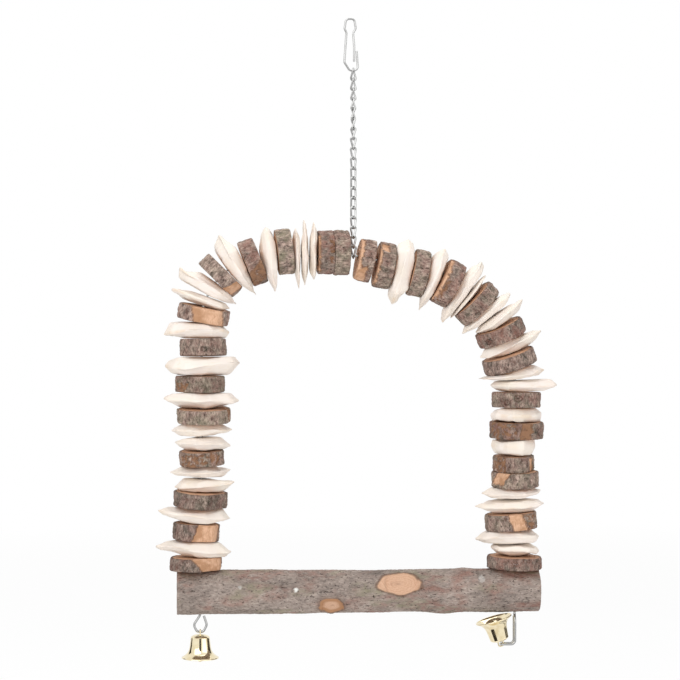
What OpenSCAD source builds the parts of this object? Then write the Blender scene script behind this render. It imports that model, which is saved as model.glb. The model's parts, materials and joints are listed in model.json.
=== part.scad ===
// Bird swing: a snap clip and a twisted-link chain carry a wire arch threaded with bark discs
// and pale wood chips. The arch's ends pass through a natural perch and hold two brass bells.
// The origin is the inside of the clip's top bend, where a cage bar sits. X runs along the
// perch, Y to the back and Z up, all in millimetres.

/* [Snap clip] */
// Wire thickness of the clip
clip_wire_d = 1.3; // [1.1:0.1:1.6]
// Length of the clip between the middles of its top and bottom bends
clip_l = 31.4; // [29:0.1:36]
// Width of the clip's upper bulb between wire middles
clip_bulb_w = 6.2; // [6:0.1:7]
// Width of the clip's lower bend between wire middles
clip_w = 8.3; // [7.8:0.1:9.5]
// How far the free end of the lower bend reaches up
clip_hook_l = 11.8; // [10:0.1:13]

/* [Chain] */
// Number of twisted links
link_count = 19; // [12:1:20]
// Length of the hole in a link
link_hole_l = 6.15; // [5.9:0.05:7]
// Width of a link over its wires
link_w = 4.9; // [4.8:0.05:5.2]
// Wire thickness of the links
link_wire_d = 1.2; // [1:0.05:1.25]

/* [Wire arch] */
// Distance between the arch's legs, between wire middles
arch_w = 191.5; // [180:0.5:215]
// Height of the chain's seat on the arch over the middle of the perch
arch_h = 204; // [196:0.1:225]
// Wire thickness of the arch
arch_wire_d = 1.5; // [1.3:0.05:1.55]
// Bare length of arch wire between the discs that the chain hangs in
chain_slot_w = 5.5; // [5.5:0.1:6.5]
// How far left of the arch's middle the chain hangs
chain_off = 2.8; // [0:0.1:5]

/* [Wooden pieces] */
// Diameter of a usual bark disc
disc_d = 30; // [26:0.5:32]
// Length of a usual pale chip
chip_l = 42; // [36:0.5:46]
// Half depth of a usual pale chip from front to back
chip_half_depth = 13; // [10:0.5:15]
// Diameter of the hole drilled through each piece
bore_d = 3.6; // [3.2:0.1:4]
// Most that a piece leans on the wire in its loose hole, in degrees
piece_lean = 7; // [0:0.5:7.5]
// Depth of the furrows in the bark
furrow_depth = 0.5; // [0.2:0.1:0.8]

/* [Perch] */
// How much longer the perch is than the arch is wide
perch_over_l = 28.5; // [26:0.5:50]
// Diameter of the perch at its left end
perch_d = 26.4; // [22:0.2:30]
// How much thinner the perch is at its right end
perch_taper = 0.8; // [0:0.1:3]
// Diameter of the larger knot, where a side branch was sawn off
big_knot_d = 15; // [12:0.5:17]
// Diameter of the smaller knot
small_knot_d = 13; // [9:0.5:15]

/* [Bells] */
// Diameter of a bell's mouth
bell_d = 22.6; // [21:0.2:24]
// Height of a bell's cup
bell_h = 14; // [13.5:0.1:15]
// Thickness of a bell's sheet brass
bell_wall = 0.6; // [0.4:0.05:0.8]
// Wire thickness of the staple in a bell's crown
staple_wire_d = 0.9; // [0.7:0.05:1]
// Diameter of a clapper's ball
clapper_d = 3.4; // [3:0.1:4]
// Distance of the left bell's wire loop below the perch
left_loop_l = 10.8; // [10:0.1:14]
// How far the right bell's wire loop sits below the closest place its bell can turn over
right_loop_drop = 0; // [0:0.1:2]

/* [Clearances] */
// Play between wires that hang on each other
wire_play = 0.15; // [0.1:0.05:0.2]
// Gap between neighbouring wooden pieces
piece_gap = 0.35; // [0.25:0.05:0.5]
// Gap between the clip's spring gate and the wire it works against
gate_play = 0.3; // [0.2:0.05:0.35]

/* [Hidden] */
DISCS = 13;
wire_sides = 8;
round_fn = 48;
FRONT = [0, -1, 0];
BACK = [0, 1, 0];

// Small helpers
function numbered(name, i) = str(name, i < 10 ? "0" : "", i);
function unit(v) = v / norm(v);
function sum(v, n) = n <= 0 ? 0 : v[n - 1] + sum(v, n - 1);
function rough(i, seed) = rands(-1, 1, 1, seed * 53 + i)[0];
function between(a, b, share) = a + (b - a) * share;

// A bent wire is a list of corner points with a bend radius at each. Its centreline is a
// list of [point, direction of travel].
function corner_turn(a, b, c) = acos(unit(b - a) * unit(c - b));
function corner_reach(a, b, c, r) = r * tan(corner_turn(a, b, c) / 2);
function bend(a, b, c, r, steps) =
    let (
        u = unit(b - a),
        turn = corner_turn(a, b, c),
        n = unit(cross(u, unit(c - b))),
        inward = cross(n, u),
        centre = b - u * r * tan(turn / 2) + inward * r
    )
    [for (k = [0 : steps])
        let (w = turn * k / steps)
        [centre + (u * sin(w) - inward * cos(w)) * r, u * cos(w) + inward * sin(w)]];
function open_wire(p, r, steps) =
    let (last = len(p) - 1)
    concat(
        [[p[0], unit(p[1] - p[0])]],
        [for (i = [1 : last - 1]) each bend(p[i - 1], p[i], p[i + 1], r[i], steps[i])],
        [[p[last], unit(p[last] - p[last - 1])]]
    );
function closed_wire(p, r, steps) =
    let (n = len(p))
    [for (i = [0 : n - 1]) each bend(p[(i + n - 1) % n], p[i], p[(i + 1) % n], r, steps)];

// One side direction per ring, carried along an open wire without twisting
function carried(line, side, i = 0) =
    i >= len(line) ? [] :
    let (t = line[i][1], next = unit(side - t * (t * side)))
    concat([next], carried(line, next, i + 1));
function ring(at, side, d) =
    let (up = cross(at[1], side))
    [for (k = [0 : wire_sides - 1])
        let (a = 360 * (k + 0.5) / wire_sides)
        at[0] + (side * cos(a) + up * sin(a)) * d / 2];
function skin(rings, sides, closed) =
    [for (i = [0 : rings - (closed ? 1 : 2)])
        for (k = [0 : sides - 1])
            let (
                a = i * sides,
                b = ((i + 1) % rings) * sides,
                next = (k + 1) % sides
            )
            each [[a + k, b + k, b + next], [a + k, b + next, a + next]]];
function end_caps(rings, sides) = [
    [for (k = [0 : sides - 1]) k],
    [for (k = [sides - 1 : -1 : 0]) (rings - 1) * sides + k]
];

module open_tube(line, side, d) {
    sides = carried(line, side);
    polyhedron(
        [for (i = [0 : len(line) - 1]) each ring(line[i], sides[i], d)],
        concat(skin(len(line), wire_sides, false), end_caps(len(line), wire_sides))
    );
}

// Rings of a closed wire face its middle, so the last one meets the first
module closed_tube(line, middle, d) {
    polyhedron(
        [for (at = line)
            let (arm = at[0] - middle)
            each ring(at, unit(arm - at[1] * (at[1] * arm)), d)],
        skin(len(line), wire_sides, true)
    );
}

// Snap clip: a narrow neck, a bulb over the cage bar and a hook whose free end stops the gate
clip_top_z = clip_wire_d / 2;
clip_low_z = clip_top_z - clip_l;
neck_z = between(clip_top_z, clip_low_z, 0.27);
bulb_z = between(clip_top_z, neck_z, 0.68);
neck_left_x = -clip_bulb_w * 0.37;
neck_right_x = clip_bulb_w * 0.29;
clip_left_x = -clip_w * 0.43;
hook_x = clip_left_x + clip_w;
clip_corners = [
    [hook_x - clip_wire_d * 0.6, 0, clip_low_z + clip_hook_l],
    [hook_x, 0, clip_low_z],
    [between(clip_left_x, hook_x, 0.38), 0, clip_low_z],
    [clip_left_x, 0, between(clip_low_z, clip_top_z, 0.16)],
    [neck_left_x, 0, neck_z],
    [-clip_bulb_w * 0.55, 0, bulb_z],
    [-clip_bulb_w * 0.4, 0, clip_top_z],
    [clip_bulb_w * 0.4, 0, clip_top_z],
    [clip_bulb_w * 0.55, 0, bulb_z],
    [neck_right_x, 0, neck_z]
];
clip_bends = [0, clip_w * 0.3, clip_w * 0.3, clip_w * 0.3, clip_bulb_w * 0.4,
    clip_bulb_w * 0.25, clip_bulb_w * 0.35, clip_bulb_w * 0.35, clip_bulb_w * 0.25, 0];
clip_steps = [0, 5, 4, 4, 2, 2, 4, 4, 2, 0];
gate_end = [clip_corners[0].x - clip_wire_d - gate_play * 0.8, 0,
    between(clip_low_z, clip_low_z + clip_hook_l, 0.45)];
gate_pivot = [neck_right_x, 0, neck_z - gate_play / 2];

module clip_wire() {
    color("silver") open_tube(open_wire(clip_corners, clip_bends, clip_steps), BACK, clip_wire_d);
}

module clip_gate() {
    arm = gate_end - gate_pivot;
    color("silver")
        translate(gate_pivot)
            rotate([0, 90 + atan2(-arm.z, arm.x), 0])
                translate([0, 0, gate_play / 2])
                    cylinder(d = clip_wire_d, h = norm(arm), $fn = round_fn);
}

// Chain: every link is bent alike, with its two ends a quarter turn apart, so the links lie
// in line. The chain hangs with half a turn in its upper links.
chain_x = between(clip_left_x, hook_x, 0.66);
link_pitch = link_hole_l - wire_play;
link_half_w = (link_w - link_wire_d) / 2;
link_mid_l = link_hole_l + link_wire_d;
first_link_z = clip_low_z + (clip_wire_d + link_wire_d) / 2 + wire_play - link_mid_l / 2;
seat_z = first_link_z - (link_count - 1) * link_pitch - link_mid_l / 2
    + (link_wire_d + arch_wire_d) / 2 + wire_play;
link_end = link_half_w * sqrt(1 / 2);
link_corners = [
    [link_end, link_end, link_mid_l / 2],
    [-link_end, -link_end, link_mid_l / 2],
    [-link_end, link_end, -link_mid_l / 2],
    [link_end, -link_end, -link_mid_l / 2]
];
link_bend = link_half_w
    / tan(corner_turn(link_corners[3], link_corners[0], link_corners[1]) / 2);
function ease(x) = let (t = max(0, min(1, x))) t * t * (3 - 2 * t);
function link_turn(i) = 45 + 135 * ease((i - 1) / 12) - 45 * ease((i + 5 - link_count) / 4);
function link_z(i) = first_link_z - (i - 1) * link_pitch;

module chain_link(i) {
    color("silver")
        translate([chain_x, 0, link_z(i)])
            rotate([0, 0, link_turn(i)])
                closed_tube(closed_wire(link_corners, link_bend, 3), [0, 0, 0], link_wire_d);
}

// Wire arch: its corners and bend radii as shares of its width and height
arch_x = chain_x + chain_off;
perch_z = seat_z - arch_h;
leg_left_x = arch_x - arch_w / 2;
leg_right_x = arch_x + arch_w / 2;
shoulder_left = [leg_left_x + arch_w * 0.006, 0, perch_z + arch_h * 0.997];
shoulder_right = [leg_right_x + arch_w * 0.003, 0, perch_z + arch_h * 0.903];
crown_bend = arch_w * 0.13;
crown_turn = corner_turn(shoulder_left, [chain_x, 0, seat_z], shoulder_right);
crown = [chain_x, 0, seat_z + crown_bend * (1 / cos(crown_turn / 2) - 1)];
lump_share = 0.035;
perch_top_z = perch_z + perch_d / 2 * (1 + lump_share);
route = [
    [leg_left_x, 0, perch_top_z],
    shoulder_left,
    crown,
    shoulder_right,
    [leg_right_x, 0, perch_top_z]
];
route_bends = [0, arch_w * 0.21, crown_bend, arch_w * 0.396, 0];

// Length of the route up to the end of corner i's bend, and the place a length s along it
function reach_at(i) = i <= 0 || i >= len(route) - 1 ? 0 :
    corner_reach(route[i - 1], route[i], route[i + 1], route_bends[i]);
function straight_at(i) = norm(route[i] - route[i - 1]) - reach_at(i - 1) - reach_at(i);
function arc_at(i) = i >= len(route) - 1 ? 0 :
    route_bends[i] * corner_turn(route[i - 1], route[i], route[i + 1]) * PI / 180;
function route_l(i) = i <= 0 ? 0 : straight_at(i) + arc_at(i) + route_l(i - 1);
function route_point(s, i = 1) =
    let (
        straight = straight_at(i),
        u = unit(route[i] - route[i - 1]),
        start = route[i - 1] + u * reach_at(i - 1)
    )
    s <= straight || i >= len(route) - 1 ? [start + u * s, u] :
    s <= straight + arc_at(i) ?
        let (
            n = unit(cross(u, unit(route[i + 1] - route[i]))),
            w = (s - straight) / route_bends[i] * 180 / PI,
            inward = cross(n, u),
            centre = start + u * straight + inward * route_bends[i]
        )
        [centre + (u * sin(w) - inward * cos(w)) * route_bends[i],
            u * cos(w) + inward * sin(w)] :
    route_point(s - straight - arc_at(i), i + 1);
slot_s = route_l(2) - arc_at(2) / 2;
left_l = slot_s - chain_slot_w / 2;
right_l = route_l(4) - slot_s - chain_slot_w / 2;

// The wooden pieces in order. Each piece's first number is its share of its side's length.
// A disc then has its diameter and its shift outwards as shares of disc_d, the direction of a
// flat where the bark was cut away, with 0 outwards and 90 to the front, and how it leans
// outwards and to the front. A chip has its reach outwards and inwards as shares of chip_l, how
// far its faces are shifted, how its pointed ends sit, and how the face after it leans.
left_piece_shares = [
    ["disc", 13, 1.08, 0.09, 128, 0.1, 0],
    ["chip", 16.5, 0.65, 0.45, 0.5, 0.4, 0, 0],
    ["disc", 17, 0.93, 0.08, 100, -0.35, 0.15],
    ["chip", 16.5, 0.62, 0.43, 0.2, 0.5, 0, 0],
    ["disc", 15, 1.1, 0, 140, -0.35, 0.45],
    ["chip", 14, 0.38, 0.49, -0.4, -0.9, -0.5, 0.5],
    ["chip", 13, 0.45, 0.43, -0.3, -0.7, 0, 0],
    ["disc", 14.5, 0.91, -0.01, 0, 0.35, 0.7],
    ["chip", 14, 0.38, 0.43, 0.3, 0.4, 0.6, 0.4],
    ["chip", 14, 0.43, 0.45, 0.4, 0.2, 0, 0],
    ["disc", 14, 1.09, -0.06, 0, 0.2, 0.7],
    ["chip", 16.5, 0.55, 0.55, 0.1, 0.3, 0, 0],
    ["disc", 16, 1.01, 0.03, 60, 0, 0.15],
    ["chip", 20, 0.53, 0.56, -0.1, -0.2, 0, 0],
    ["disc", 17, 0.95, -0.03, 0, 0.15, -0.3],
    ["chip", 17.5, 0.55, 0.4, 0.3, -0.5, 0, 0],
    ["disc", 15, 1.07, -0.03, 98, -0.5, 0.7],
    ["chip", 11.5, 0.52, 0.37, 0.2, 0.3, 0.3, 0.3],
    ["chip", 17, 0.55, 0.43, -0.3, 0.4, 0, 0],
    ["disc", 15, 1, 0, 160, 0, 0.3],
    ["chip", 20, 0.49, 0.53, 0.3, 0.3, 0, 0],
    ["disc", 16, 0.97, -0.08, 160, 1, 0],
    ["chip", 18, 0.42, 0.52, 0, 0.2, 0, 0],
    ["disc", 15.5, 0.95, 0.09, 0, 0.95, -0.3],
    ["chip", 8.3, 0.4, 0.48, 0, 0.2, 0.2, 0],
    ["chip", 8.4, 0.52, 0.43, 0.2, -0.2, -0.3, 0],
    ["chip", 8.4, 0.49, 0.35, 0.1, 0.3, 0, 0],
    ["disc", 16, 0.89, 0.06, 0, 0, -0.4],
    ["disc", 15.7, 0.89, 0.06, 0, 0, -0.4]
];
right_piece_shares = [
    ["disc", 15.7, 0.87, -0.05, 0, 0, -0.4],
    ["bare", 4],
    ["disc", 16.5, 0.95, -0.07, 30, 0, -0.4],
    ["chip", 20, 0.39, 0.59, 0.1, 0.2, 0, 0],
    ["disc", 15, 0.97, -0.1, 0, 0, -0.3],
    ["chip", 16, 0.39, 0.59, 0.2, 0.3, 0, 0],
    ["disc", 17, 0.97, -0.08, 0, 0, -0.7],
    ["chip", 14.5, 0.48, 0.58, 0.3, -0.3, 0.2, -0.3],
    ["chip", 6.5, 0.36, 0.46, 0, 0, 0, 0],
    ["disc", 15, 1.01, -0.06, 0, 0, -0.7],
    ["chip", 12, 0.43, 0.49, 0.2, 0.3, 0.4, -0.4],
    ["chip", 12, 0.52, 0.32, 0, -0.4, 0, 0],
    ["disc", 15, 0.99, 0, 0, -0.5, -0.85],
    ["chip", 15.3, 0.55, 0.43, 0.3, -0.5, 0, 0],
    ["disc", 14.5, 1.09, -0.04, 0, 0.6, -0.8],
    ["chip", 12.5, 0.45, 0.53, 0.2, 0.5, -0.4, -0.3],
    ["chip", 12.5, 0.62, 0.36, -0.2, 0.3, 0, 0],
    ["disc", 15.5, 0.99, 0.03, 0, 0, 0],
    ["chip", 14.5, 0.39, 0.36, 0.1, 0, 0, 0],
    ["disc", 16.5, 1.11, 0.03, 85, 0, -0.4],
    ["chip", 17.5, 0.3, 0.35, 0, 0.2, 0, 0],
    ["disc", 16, 0.85, -0.02, 30, 0.2, -0.55],
    ["disc", 15.5, 0.97, 0, 150, 0.2, -0.55],
    ["chip", 12, 0.38, 0.49, 0.2, -0.4, 0.5, -0.4],
    ["chip", 14, 0.43, 0.59, -0.2, -0.3, 0, 0],
    ["disc", 16.5, 1.03, -0.07, 90, 0.7, -0.3],
    ["chip", 15, 0.36, 0.58, 0.3, -0.3, 0.1, -0.2],
    ["chip", 12.5, 0.36, 0.35, 0, 0.6, 0, 0],
    ["disc", 12.3, 1.11, -0.01, 0, -0.15, -0.15]
];
all_pieces = concat(left_piece_shares, right_piece_shares);
left_count = len(left_piece_shares);
function share_sum(list, n) = sum([for (row = list) row[1]], n);
left_total = share_sum(left_piece_shares, left_count);
right_total = share_sum(right_piece_shares, len(right_piece_shares));
function start_s(i) = i < left_count ?
    left_l * share_sum(left_piece_shares, i) / left_total :
    slot_s + chain_slot_w / 2
        + right_l * share_sum(right_piece_shares, i - left_count) / right_total;
function end_s(i) = start_s(i)
    + (i < left_count ? left_l / left_total : right_l / right_total) * all_pieces[i][1];
function mid_point(i) = route_point((start_s(i) + end_s(i)) / 2);
function is_disc(i) = i >= 0 && i < len(all_pieces) && all_pieces[i][0] == "disc";

// A piece leans on the wire by shares of piece_lean, outwards and to the front
function leaned(at, shares) =
    let (out = unit(cross(at[1], BACK)), front = cross(at[1], out))
    [at[0], unit(at[1] + out * tan(piece_lean * shares[0])
        + front * tan(piece_lean * shares[1]))];
function disc_axis(i) = leaned(mid_point(i), [all_pieces[i][5], all_pieces[i][6]]);
function is_chip(i) = i >= 0 && i < len(all_pieces) && all_pieces[i][0] == "chip";

// The face between two pieces follows a disc, or the first of two chips
function face_between(i, s) =
    let (at = route_point(s))
    is_disc(i) ? [at[0], disc_axis(i)[1]] :
    is_disc(i + 1) ? [at[0], disc_axis(i + 1)[1]] :
    is_chip(i) ? leaned(at, [all_pieces[i][6], all_pieces[i][7]]) :
    at;
function face_before(i) = face_between(i - 1, start_s(i));
function face_after(i) = face_between(i, end_s(i));
function chosen(kind, from, to) = [for (i = [from : to]) if (all_pieces[i][0] == kind) i];
left_discs = chosen("disc", 0, left_count - 1);
right_discs = chosen("disc", left_count, len(all_pieces) - 1);

// Places a piece on the wire: its x runs outwards, its y to the front, its z along the wire
module on_wire(at) {
    out = unit(cross(at[1], BACK));
    front = cross(at[1], out);
    multmatrix([
        [out.x, front.x, at[1].x, at[0].x],
        [out.y, front.y, at[1].y, at[0].y],
        [out.z, front.z, at[1].z, at[0].z],
        [0, 0, 0, 1]
    ]) children();
}

module wire_hole(l) {
    translate([0, 0, -l]) cylinder(d = bore_d, h = 2 * l, $fn = round_fn);
}

// Bark disc: a slice of a branch. Its bark is furrowed along the grain, so the outline of the
// slice has the furrows, and the slice is that outline with its thickness.
bark_points = 34;
function bark_radius(a, k, r, flat, seed) =
    let (
        swell = 1 + 0.035 * rough(1, seed) * cos(2 * a + 90 * rough(2, seed))
            + 0.02 * cos(3 * a + 180 * rough(3, seed)),
        whole = r * swell - (k % 2 == 0 ? 0 : furrow_depth * (0.6 + 0.4 * rough(k, seed))),
        off = abs((a - flat + 540) % 360 - 180)
    )
    flat == 0 || off > 60 ? whole : min(whole, r * 0.86 / cos(off));

module bark_disc(i, seed) {
    row = all_pieces[i];
    t = end_s(i) - start_s(i) - piece_gap;
    r = disc_d * row[2] / 2;
    color([0.52, 0.45, 0.4])
        on_wire(disc_axis(i))
            difference() {
                translate([disc_d * row[3], 0, -t / 2])
                    linear_extrude(height = t)
                        polygon([for (k = [0 : bark_points - 1])
                            let (a = 360 * (k + 0.3 * rough(k, seed)) / bark_points)
                            bark_radius(a, k, r, row[4], seed) * [cos(a), sin(a)]]);
                wire_hole(t);
            }
}

// Pale chip: an offcut with two flat faces and bevelled sides that run out into points. Where
// the wire bends, a chip's inner half is thinned so that it fills the wedge beside its disc.
chip_points = 10;
function face_z(face, at, e) =
    let (
        out = cross(at[1], BACK),
        d = face[0] - at[0],
        nx = face[1] * out,
        ny = face[1] * FRONT,
        nz = face[1] * at[1]
    )
    (d * face[1] - e.x * nx - e.y * ny) / nz;
function chip_z(i, at, e, side) =
    let (face = side < 0 ? face_before(i) : face_after(i), flat = face_z(face, at, [0, 0]))
    side < 0 ?
        max(flat, face_z(face, at, e)) + piece_gap / 2 :
        min(flat, face_z(face, at, e)) - piece_gap / 2;
function chip_edge(i, k, seed) =
    let (
        row = all_pieces[i],
        tip = k % (chip_points / 2) == 0,
        a = 360 * (k + (tip ? 0 : 0.25 * rough(k, seed))) / chip_points,
        swell = tip ? 1 : 1 + 0.08 * rough(k + 20, seed),
        x = chip_l * (cos(a) > 0 ? row[2] : row[3]) * cos(a)
    )
    [x * swell, chip_half_depth * sin(a) * swell * (1 + 0.12 * rough(40, seed))];

module pale_chip(i, seed) {
    row = all_pieces[i];
    at = mid_point(i);
    t = end_s(i) - start_s(i);
    block = max(0, 0.42 - (row[2] + row[3]) / 2);
    face_share = min(0.96, 0.75 + 1.8 * block + 0.07 * rough(41, seed));
    function face_point(k, side) =
        let (
            e = chip_edge(i, k, seed) * (face_share + 0.07 * side * rough(42, seed)),
            x = e.x + row[4] * t * 0.3 * side
        )
        [x, e.y, chip_z(i, at, [x, e.y], side)];
    function edge_point(k) =
        let (
            e = chip_edge(i, k, seed),
            level = 0.5 + 0.35 * row[5] * e.x / chip_l * 2 + 0.1 * rough(k + 60, seed)
        )
        [e.x, e.y, between(chip_z(i, at, e, -1), chip_z(i, at, e, 1),
            max(0.12, min(0.88, level)))];
    points = concat(
        [for (k = [0 : chip_points - 1]) face_point(k, -1)],
        [for (k = [0 : chip_points - 1]) edge_point(k)],
        [for (k = [0 : chip_points - 1]) face_point(k, 1)],
        [[0, 0, chip_z(i, at, [0, 0], -1)], [0, 0, chip_z(i, at, [0, 0], 1)]]
    );
    low_middle = 3 * chip_points;
    caps = [for (k = [0 : chip_points - 1])
        let (next = (k + 1) % chip_points)
        each [[low_middle, k, next],
            [low_middle + 1, 2 * chip_points + next, 2 * chip_points + k]]];
    on_wire(at)
        difference() {
            polyhedron(points, concat(skin(3, chip_points, false), caps));
            wire_hole(t);
        }
}

module pale_chips(list) {
    color([0.93, 0.88, 0.8]) for (i = list) pale_chip(i, i + 1);
}

// End loops: the left one is a flat teardrop. The right one is bent aside, so that it holds
// its bell turned over against the underside of the perch.
perch_low_z = perch_z - perch_d / 2;
crown_z = -arch_wire_d / 2 - piece_gap * 1.7;
loop_half_w = arch_wire_d * 2.34;
left_loop_z = perch_low_z - left_loop_l;
rim_reach = norm([bell_d / 2, crown_z - bell_h - bell_wall]);
right_loop_z = perch_low_z - rim_reach + piece_gap / 2 - right_loop_drop;
loop_end_gap = piece_gap;
left_loop = [
    [leg_left_x + arch_wire_d * 1.45, 0, perch_low_z - loop_end_gap - arch_wire_d / 2],
    [leg_left_x + loop_half_w * 1.15, 0, between(perch_low_z, left_loop_z, 0.62)],
    [leg_left_x + loop_half_w * 0.55, 0, left_loop_z],
    [leg_left_x - loop_half_w * 0.55, 0, left_loop_z],
    [leg_left_x - loop_half_w * 1.15, 0, between(perch_low_z, left_loop_z, 0.62)],
    [leg_left_x, 0, between(perch_low_z, left_loop_z, 0.06)]
];
side_loop_w = arch_wire_d * 5.52;
right_pivot = [leg_right_x - side_loop_w, 0, right_loop_z];
leg_y = arch_wire_d * 1.5;
right_loop = [
    [leg_right_x, 0, perch_low_z - arch_wire_d * 0.6],
    [leg_right_x, -leg_y, perch_low_z - arch_wire_d * 3.6],
    [leg_right_x, -leg_y, right_loop_z],
    [right_pivot.x, -leg_y, right_loop_z],
    [right_pivot.x, leg_y, right_loop_z],
    [leg_right_x, leg_y, right_loop_z],
    [leg_right_x, leg_y, perch_low_z - arch_wire_d * 1.7]
];
arch_corners = concat(left_loop, [for (i = [1 : 3]) route[i]], right_loop);
arch_bends = concat(
    [0, 1.9, 1.55, 1.55, 1.9, 2.9] * arch_wire_d,
    [for (i = [1 : 3]) route_bends[i]],
    [2.9, 2.9, 1.7, 0.9, 0.9, 1.7, 0] * arch_wire_d
);
arch_steps = [0, 2, 2, 2, 2, 2, 9, 2, 9, 2, 2, 3, 3, 3, 3, 0];

module arch_wire() {
    color("silver")
        open_tube(open_wire(arch_corners, arch_bends, arch_steps), BACK, arch_wire_d);
}

// Perch: a length of branch with its bark on. Its lumps wind round it and stand highest at
// the two wire holes, and two side branches were sawn off flush.
perch_rings = 22;
perch_sides = 24;
perch_l = arch_w + perch_over_l;
perch_left_x = leg_left_x - perch_over_l * 0.494;
function perch_radius(x, a) =
    let (turns = (x - leg_left_x) / arch_w)
    (perch_d - perch_taper * turns) / 2
        * (1 + lump_share * 0.6 * cos(2 * (a - 90) + 360 * turns)
            + lump_share * 0.4 * cos(5 * (a - 90) + 1080 * turns))
        + perch_taper / 2 * turns * ease(2 * sin(a) - 1);
function perch_x(i) = perch_left_x + perch_l * i / (perch_rings - 1);

module perch_log() {
    polyhedron(
        [for (i = [0 : perch_rings - 1])
            for (k = [0 : perch_sides - 1])
                let (a = 360 * k / perch_sides, r = perch_radius(perch_x(i), a))
                [perch_x(i), r * cos(a), perch_z + r * sin(a)]],
        concat(skin(perch_rings, perch_sides, false), end_caps(perch_rings, perch_sides))
    );
}

// A sawn side branch leans along the perch. Its stump is added, then cut flush by a flat that
// looks out at angle up over the front.
function flat_level(d) = sqrt(perch_d * perch_d - d * d) / 2 * 1.02;

module knot_place(x, up) {
    translate([x, 0, perch_z]) rotate([90 - up, 0, 0]) children();
}

module stump(d, lean, level) {
    translate([0, 0, level])
        rotate([0, lean, 0])
            cylinder(d = d, h = perch_d * 0.7, center = true, $fn = round_fn);
}

module knot(d, lean) {
    level = flat_level(d * 0.96);
    intersection() {
        stump(d, lean, level);
        translate([-perch_d, -perch_d, level - perch_d * 0.25])
            cube([2 * perch_d, 2 * perch_d, perch_d * 0.25]);
    }
}

module knot_cut(d, lean) {
    level = flat_level(d * 0.96);
    intersection() {
        stump(d * 1.02, lean, level);
        translate([-perch_d, -perch_d, level]) cube([2 * perch_d, 2 * perch_d, perch_d]);
    }
}

big_knot_x = arch_x + arch_w * 0.129;
small_knot_x = arch_x - arch_w * 0.085;

module perch() {
    color([0.5, 0.44, 0.4])
        difference() {
            union() {
                difference() {
                    perch_log();
                    knot_place(big_knot_x, 29) knot_cut(big_knot_d, 48);
                    knot_place(small_knot_x, -40) knot_cut(small_knot_d, 15);
                }
                knot_place(big_knot_x, 29) knot(big_knot_d, 48);
                knot_place(small_knot_x, -40) knot(small_knot_d, 15);
            }
            for (x = [leg_left_x, leg_right_x])
                translate([x, 0, perch_z - perch_d])
                    cylinder(d = bore_d, h = 2 * perch_d, $fn = round_fn);
        }
}

// Bell: a spun cup, a staple through two holes in its crown and a clapper on the staple's
// inner bar. Each piece is drawn hanging from the loop wire's middle at the origin.
staple_half_w = arch_wire_d / 2 + staple_wire_d / 2 + piece_gap;
staple_top_z = (arch_wire_d + staple_wire_d) / 2 + wire_play;
eye_wire_d = staple_wire_d * 0.65;
bar_z = crown_z - bell_wall - staple_wire_d / 2 - eye_wire_d - wire_play - piece_gap;
eye_r = staple_wire_d / 2 + wire_play + eye_wire_d / 2;
ball_z = crown_z - bell_h - clapper_d * 0.35;
cup_outline_shares = [
    [0, 0], [0.24, 0.02], [0.42, 0.07], [0.5, 0.13], [0.51, 0.16], [0.545, 0.4],
    [0.585, 0.62], [0.64, 0.74], [0.74, 0.85], [0.88, 0.94], [1, 1]
];

module bell_cup() {
    outer = [for (p = cup_outline_shares) [p.x * bell_d / 2, crown_z - p.y * bell_h]];
    inner = [for (k = [len(outer) - 1 : -1 : 1])
        [max(0, outer[k].x - bell_wall), min(outer[k].y, crown_z - bell_wall)]];
    color([0.86, 0.72, 0.36])
        difference() {
            rotate_extrude($fn = round_fn)
                polygon(concat(outer, [[bell_d / 2, outer[len(outer) - 1].y - bell_wall]],
                    [[bell_d / 2 - bell_wall, outer[len(outer) - 1].y - bell_wall]],
                    inner, [[0, crown_z - bell_wall]]));
            for (side = [-1, 1])
                translate([0, side * staple_half_w, crown_z - bell_h / 2])
                    cylinder(d = staple_wire_d + 2 * wire_play, h = bell_h, $fn = round_fn);
        }
}

module bell_staple() {
    corners = [
        [0, staple_half_w, staple_top_z],
        [0, -staple_half_w, staple_top_z],
        [0, -staple_half_w, bar_z],
        [0, staple_half_w, bar_z]
    ];
    color([0.8, 0.66, 0.34])
        closed_tube(closed_wire(corners, staple_wire_d, 3),
            [0, 0, (staple_top_z + bar_z) / 2], staple_wire_d);
}

module bell_clapper() {
    color([0.78, 0.64, 0.32])
        union() {
            translate([0, 0, bar_z])
                rotate([90, 0, 0])
                    rotate_extrude($fn = round_fn)
                        translate([eye_r, 0]) circle(d = eye_wire_d, $fn = 24);
            translate([0, 0, ball_z])
                cylinder(d = eye_wire_d, h = bar_z - eye_r - ball_z, $fn = 24);
            translate([0, 0, ball_z]) sphere(d = clapper_d, $fn = round_fn);
        }
}

// The right bell is turned over about its loop wire, and its clapper lies against the cup
bell_turn = 163.5;
clapper_lean = 29;

module left_bell() {
    translate([leg_left_x, 0, left_loop_z]) children();
}

module right_bell() {
    translate(right_pivot) rotate([0, bell_turn, 0]) rotate([0, 0, 90]) children();
}

module leaning_clapper() {
    translate([0, 0, bar_z])
        rotate([0, clapper_lean, 0])
            translate([0, 0, -bar_z])
                bell_clapper();
}

left_leg_chips = chosen("chip", 0, 15);
left_shoulder_chips = chosen("chip", 16, left_count - 1);
right_shoulder_chips = chosen("chip", left_count, left_count + 14);
right_leg_chips = chosen("chip", left_count + 15, len(all_pieces) - 1);

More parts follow.
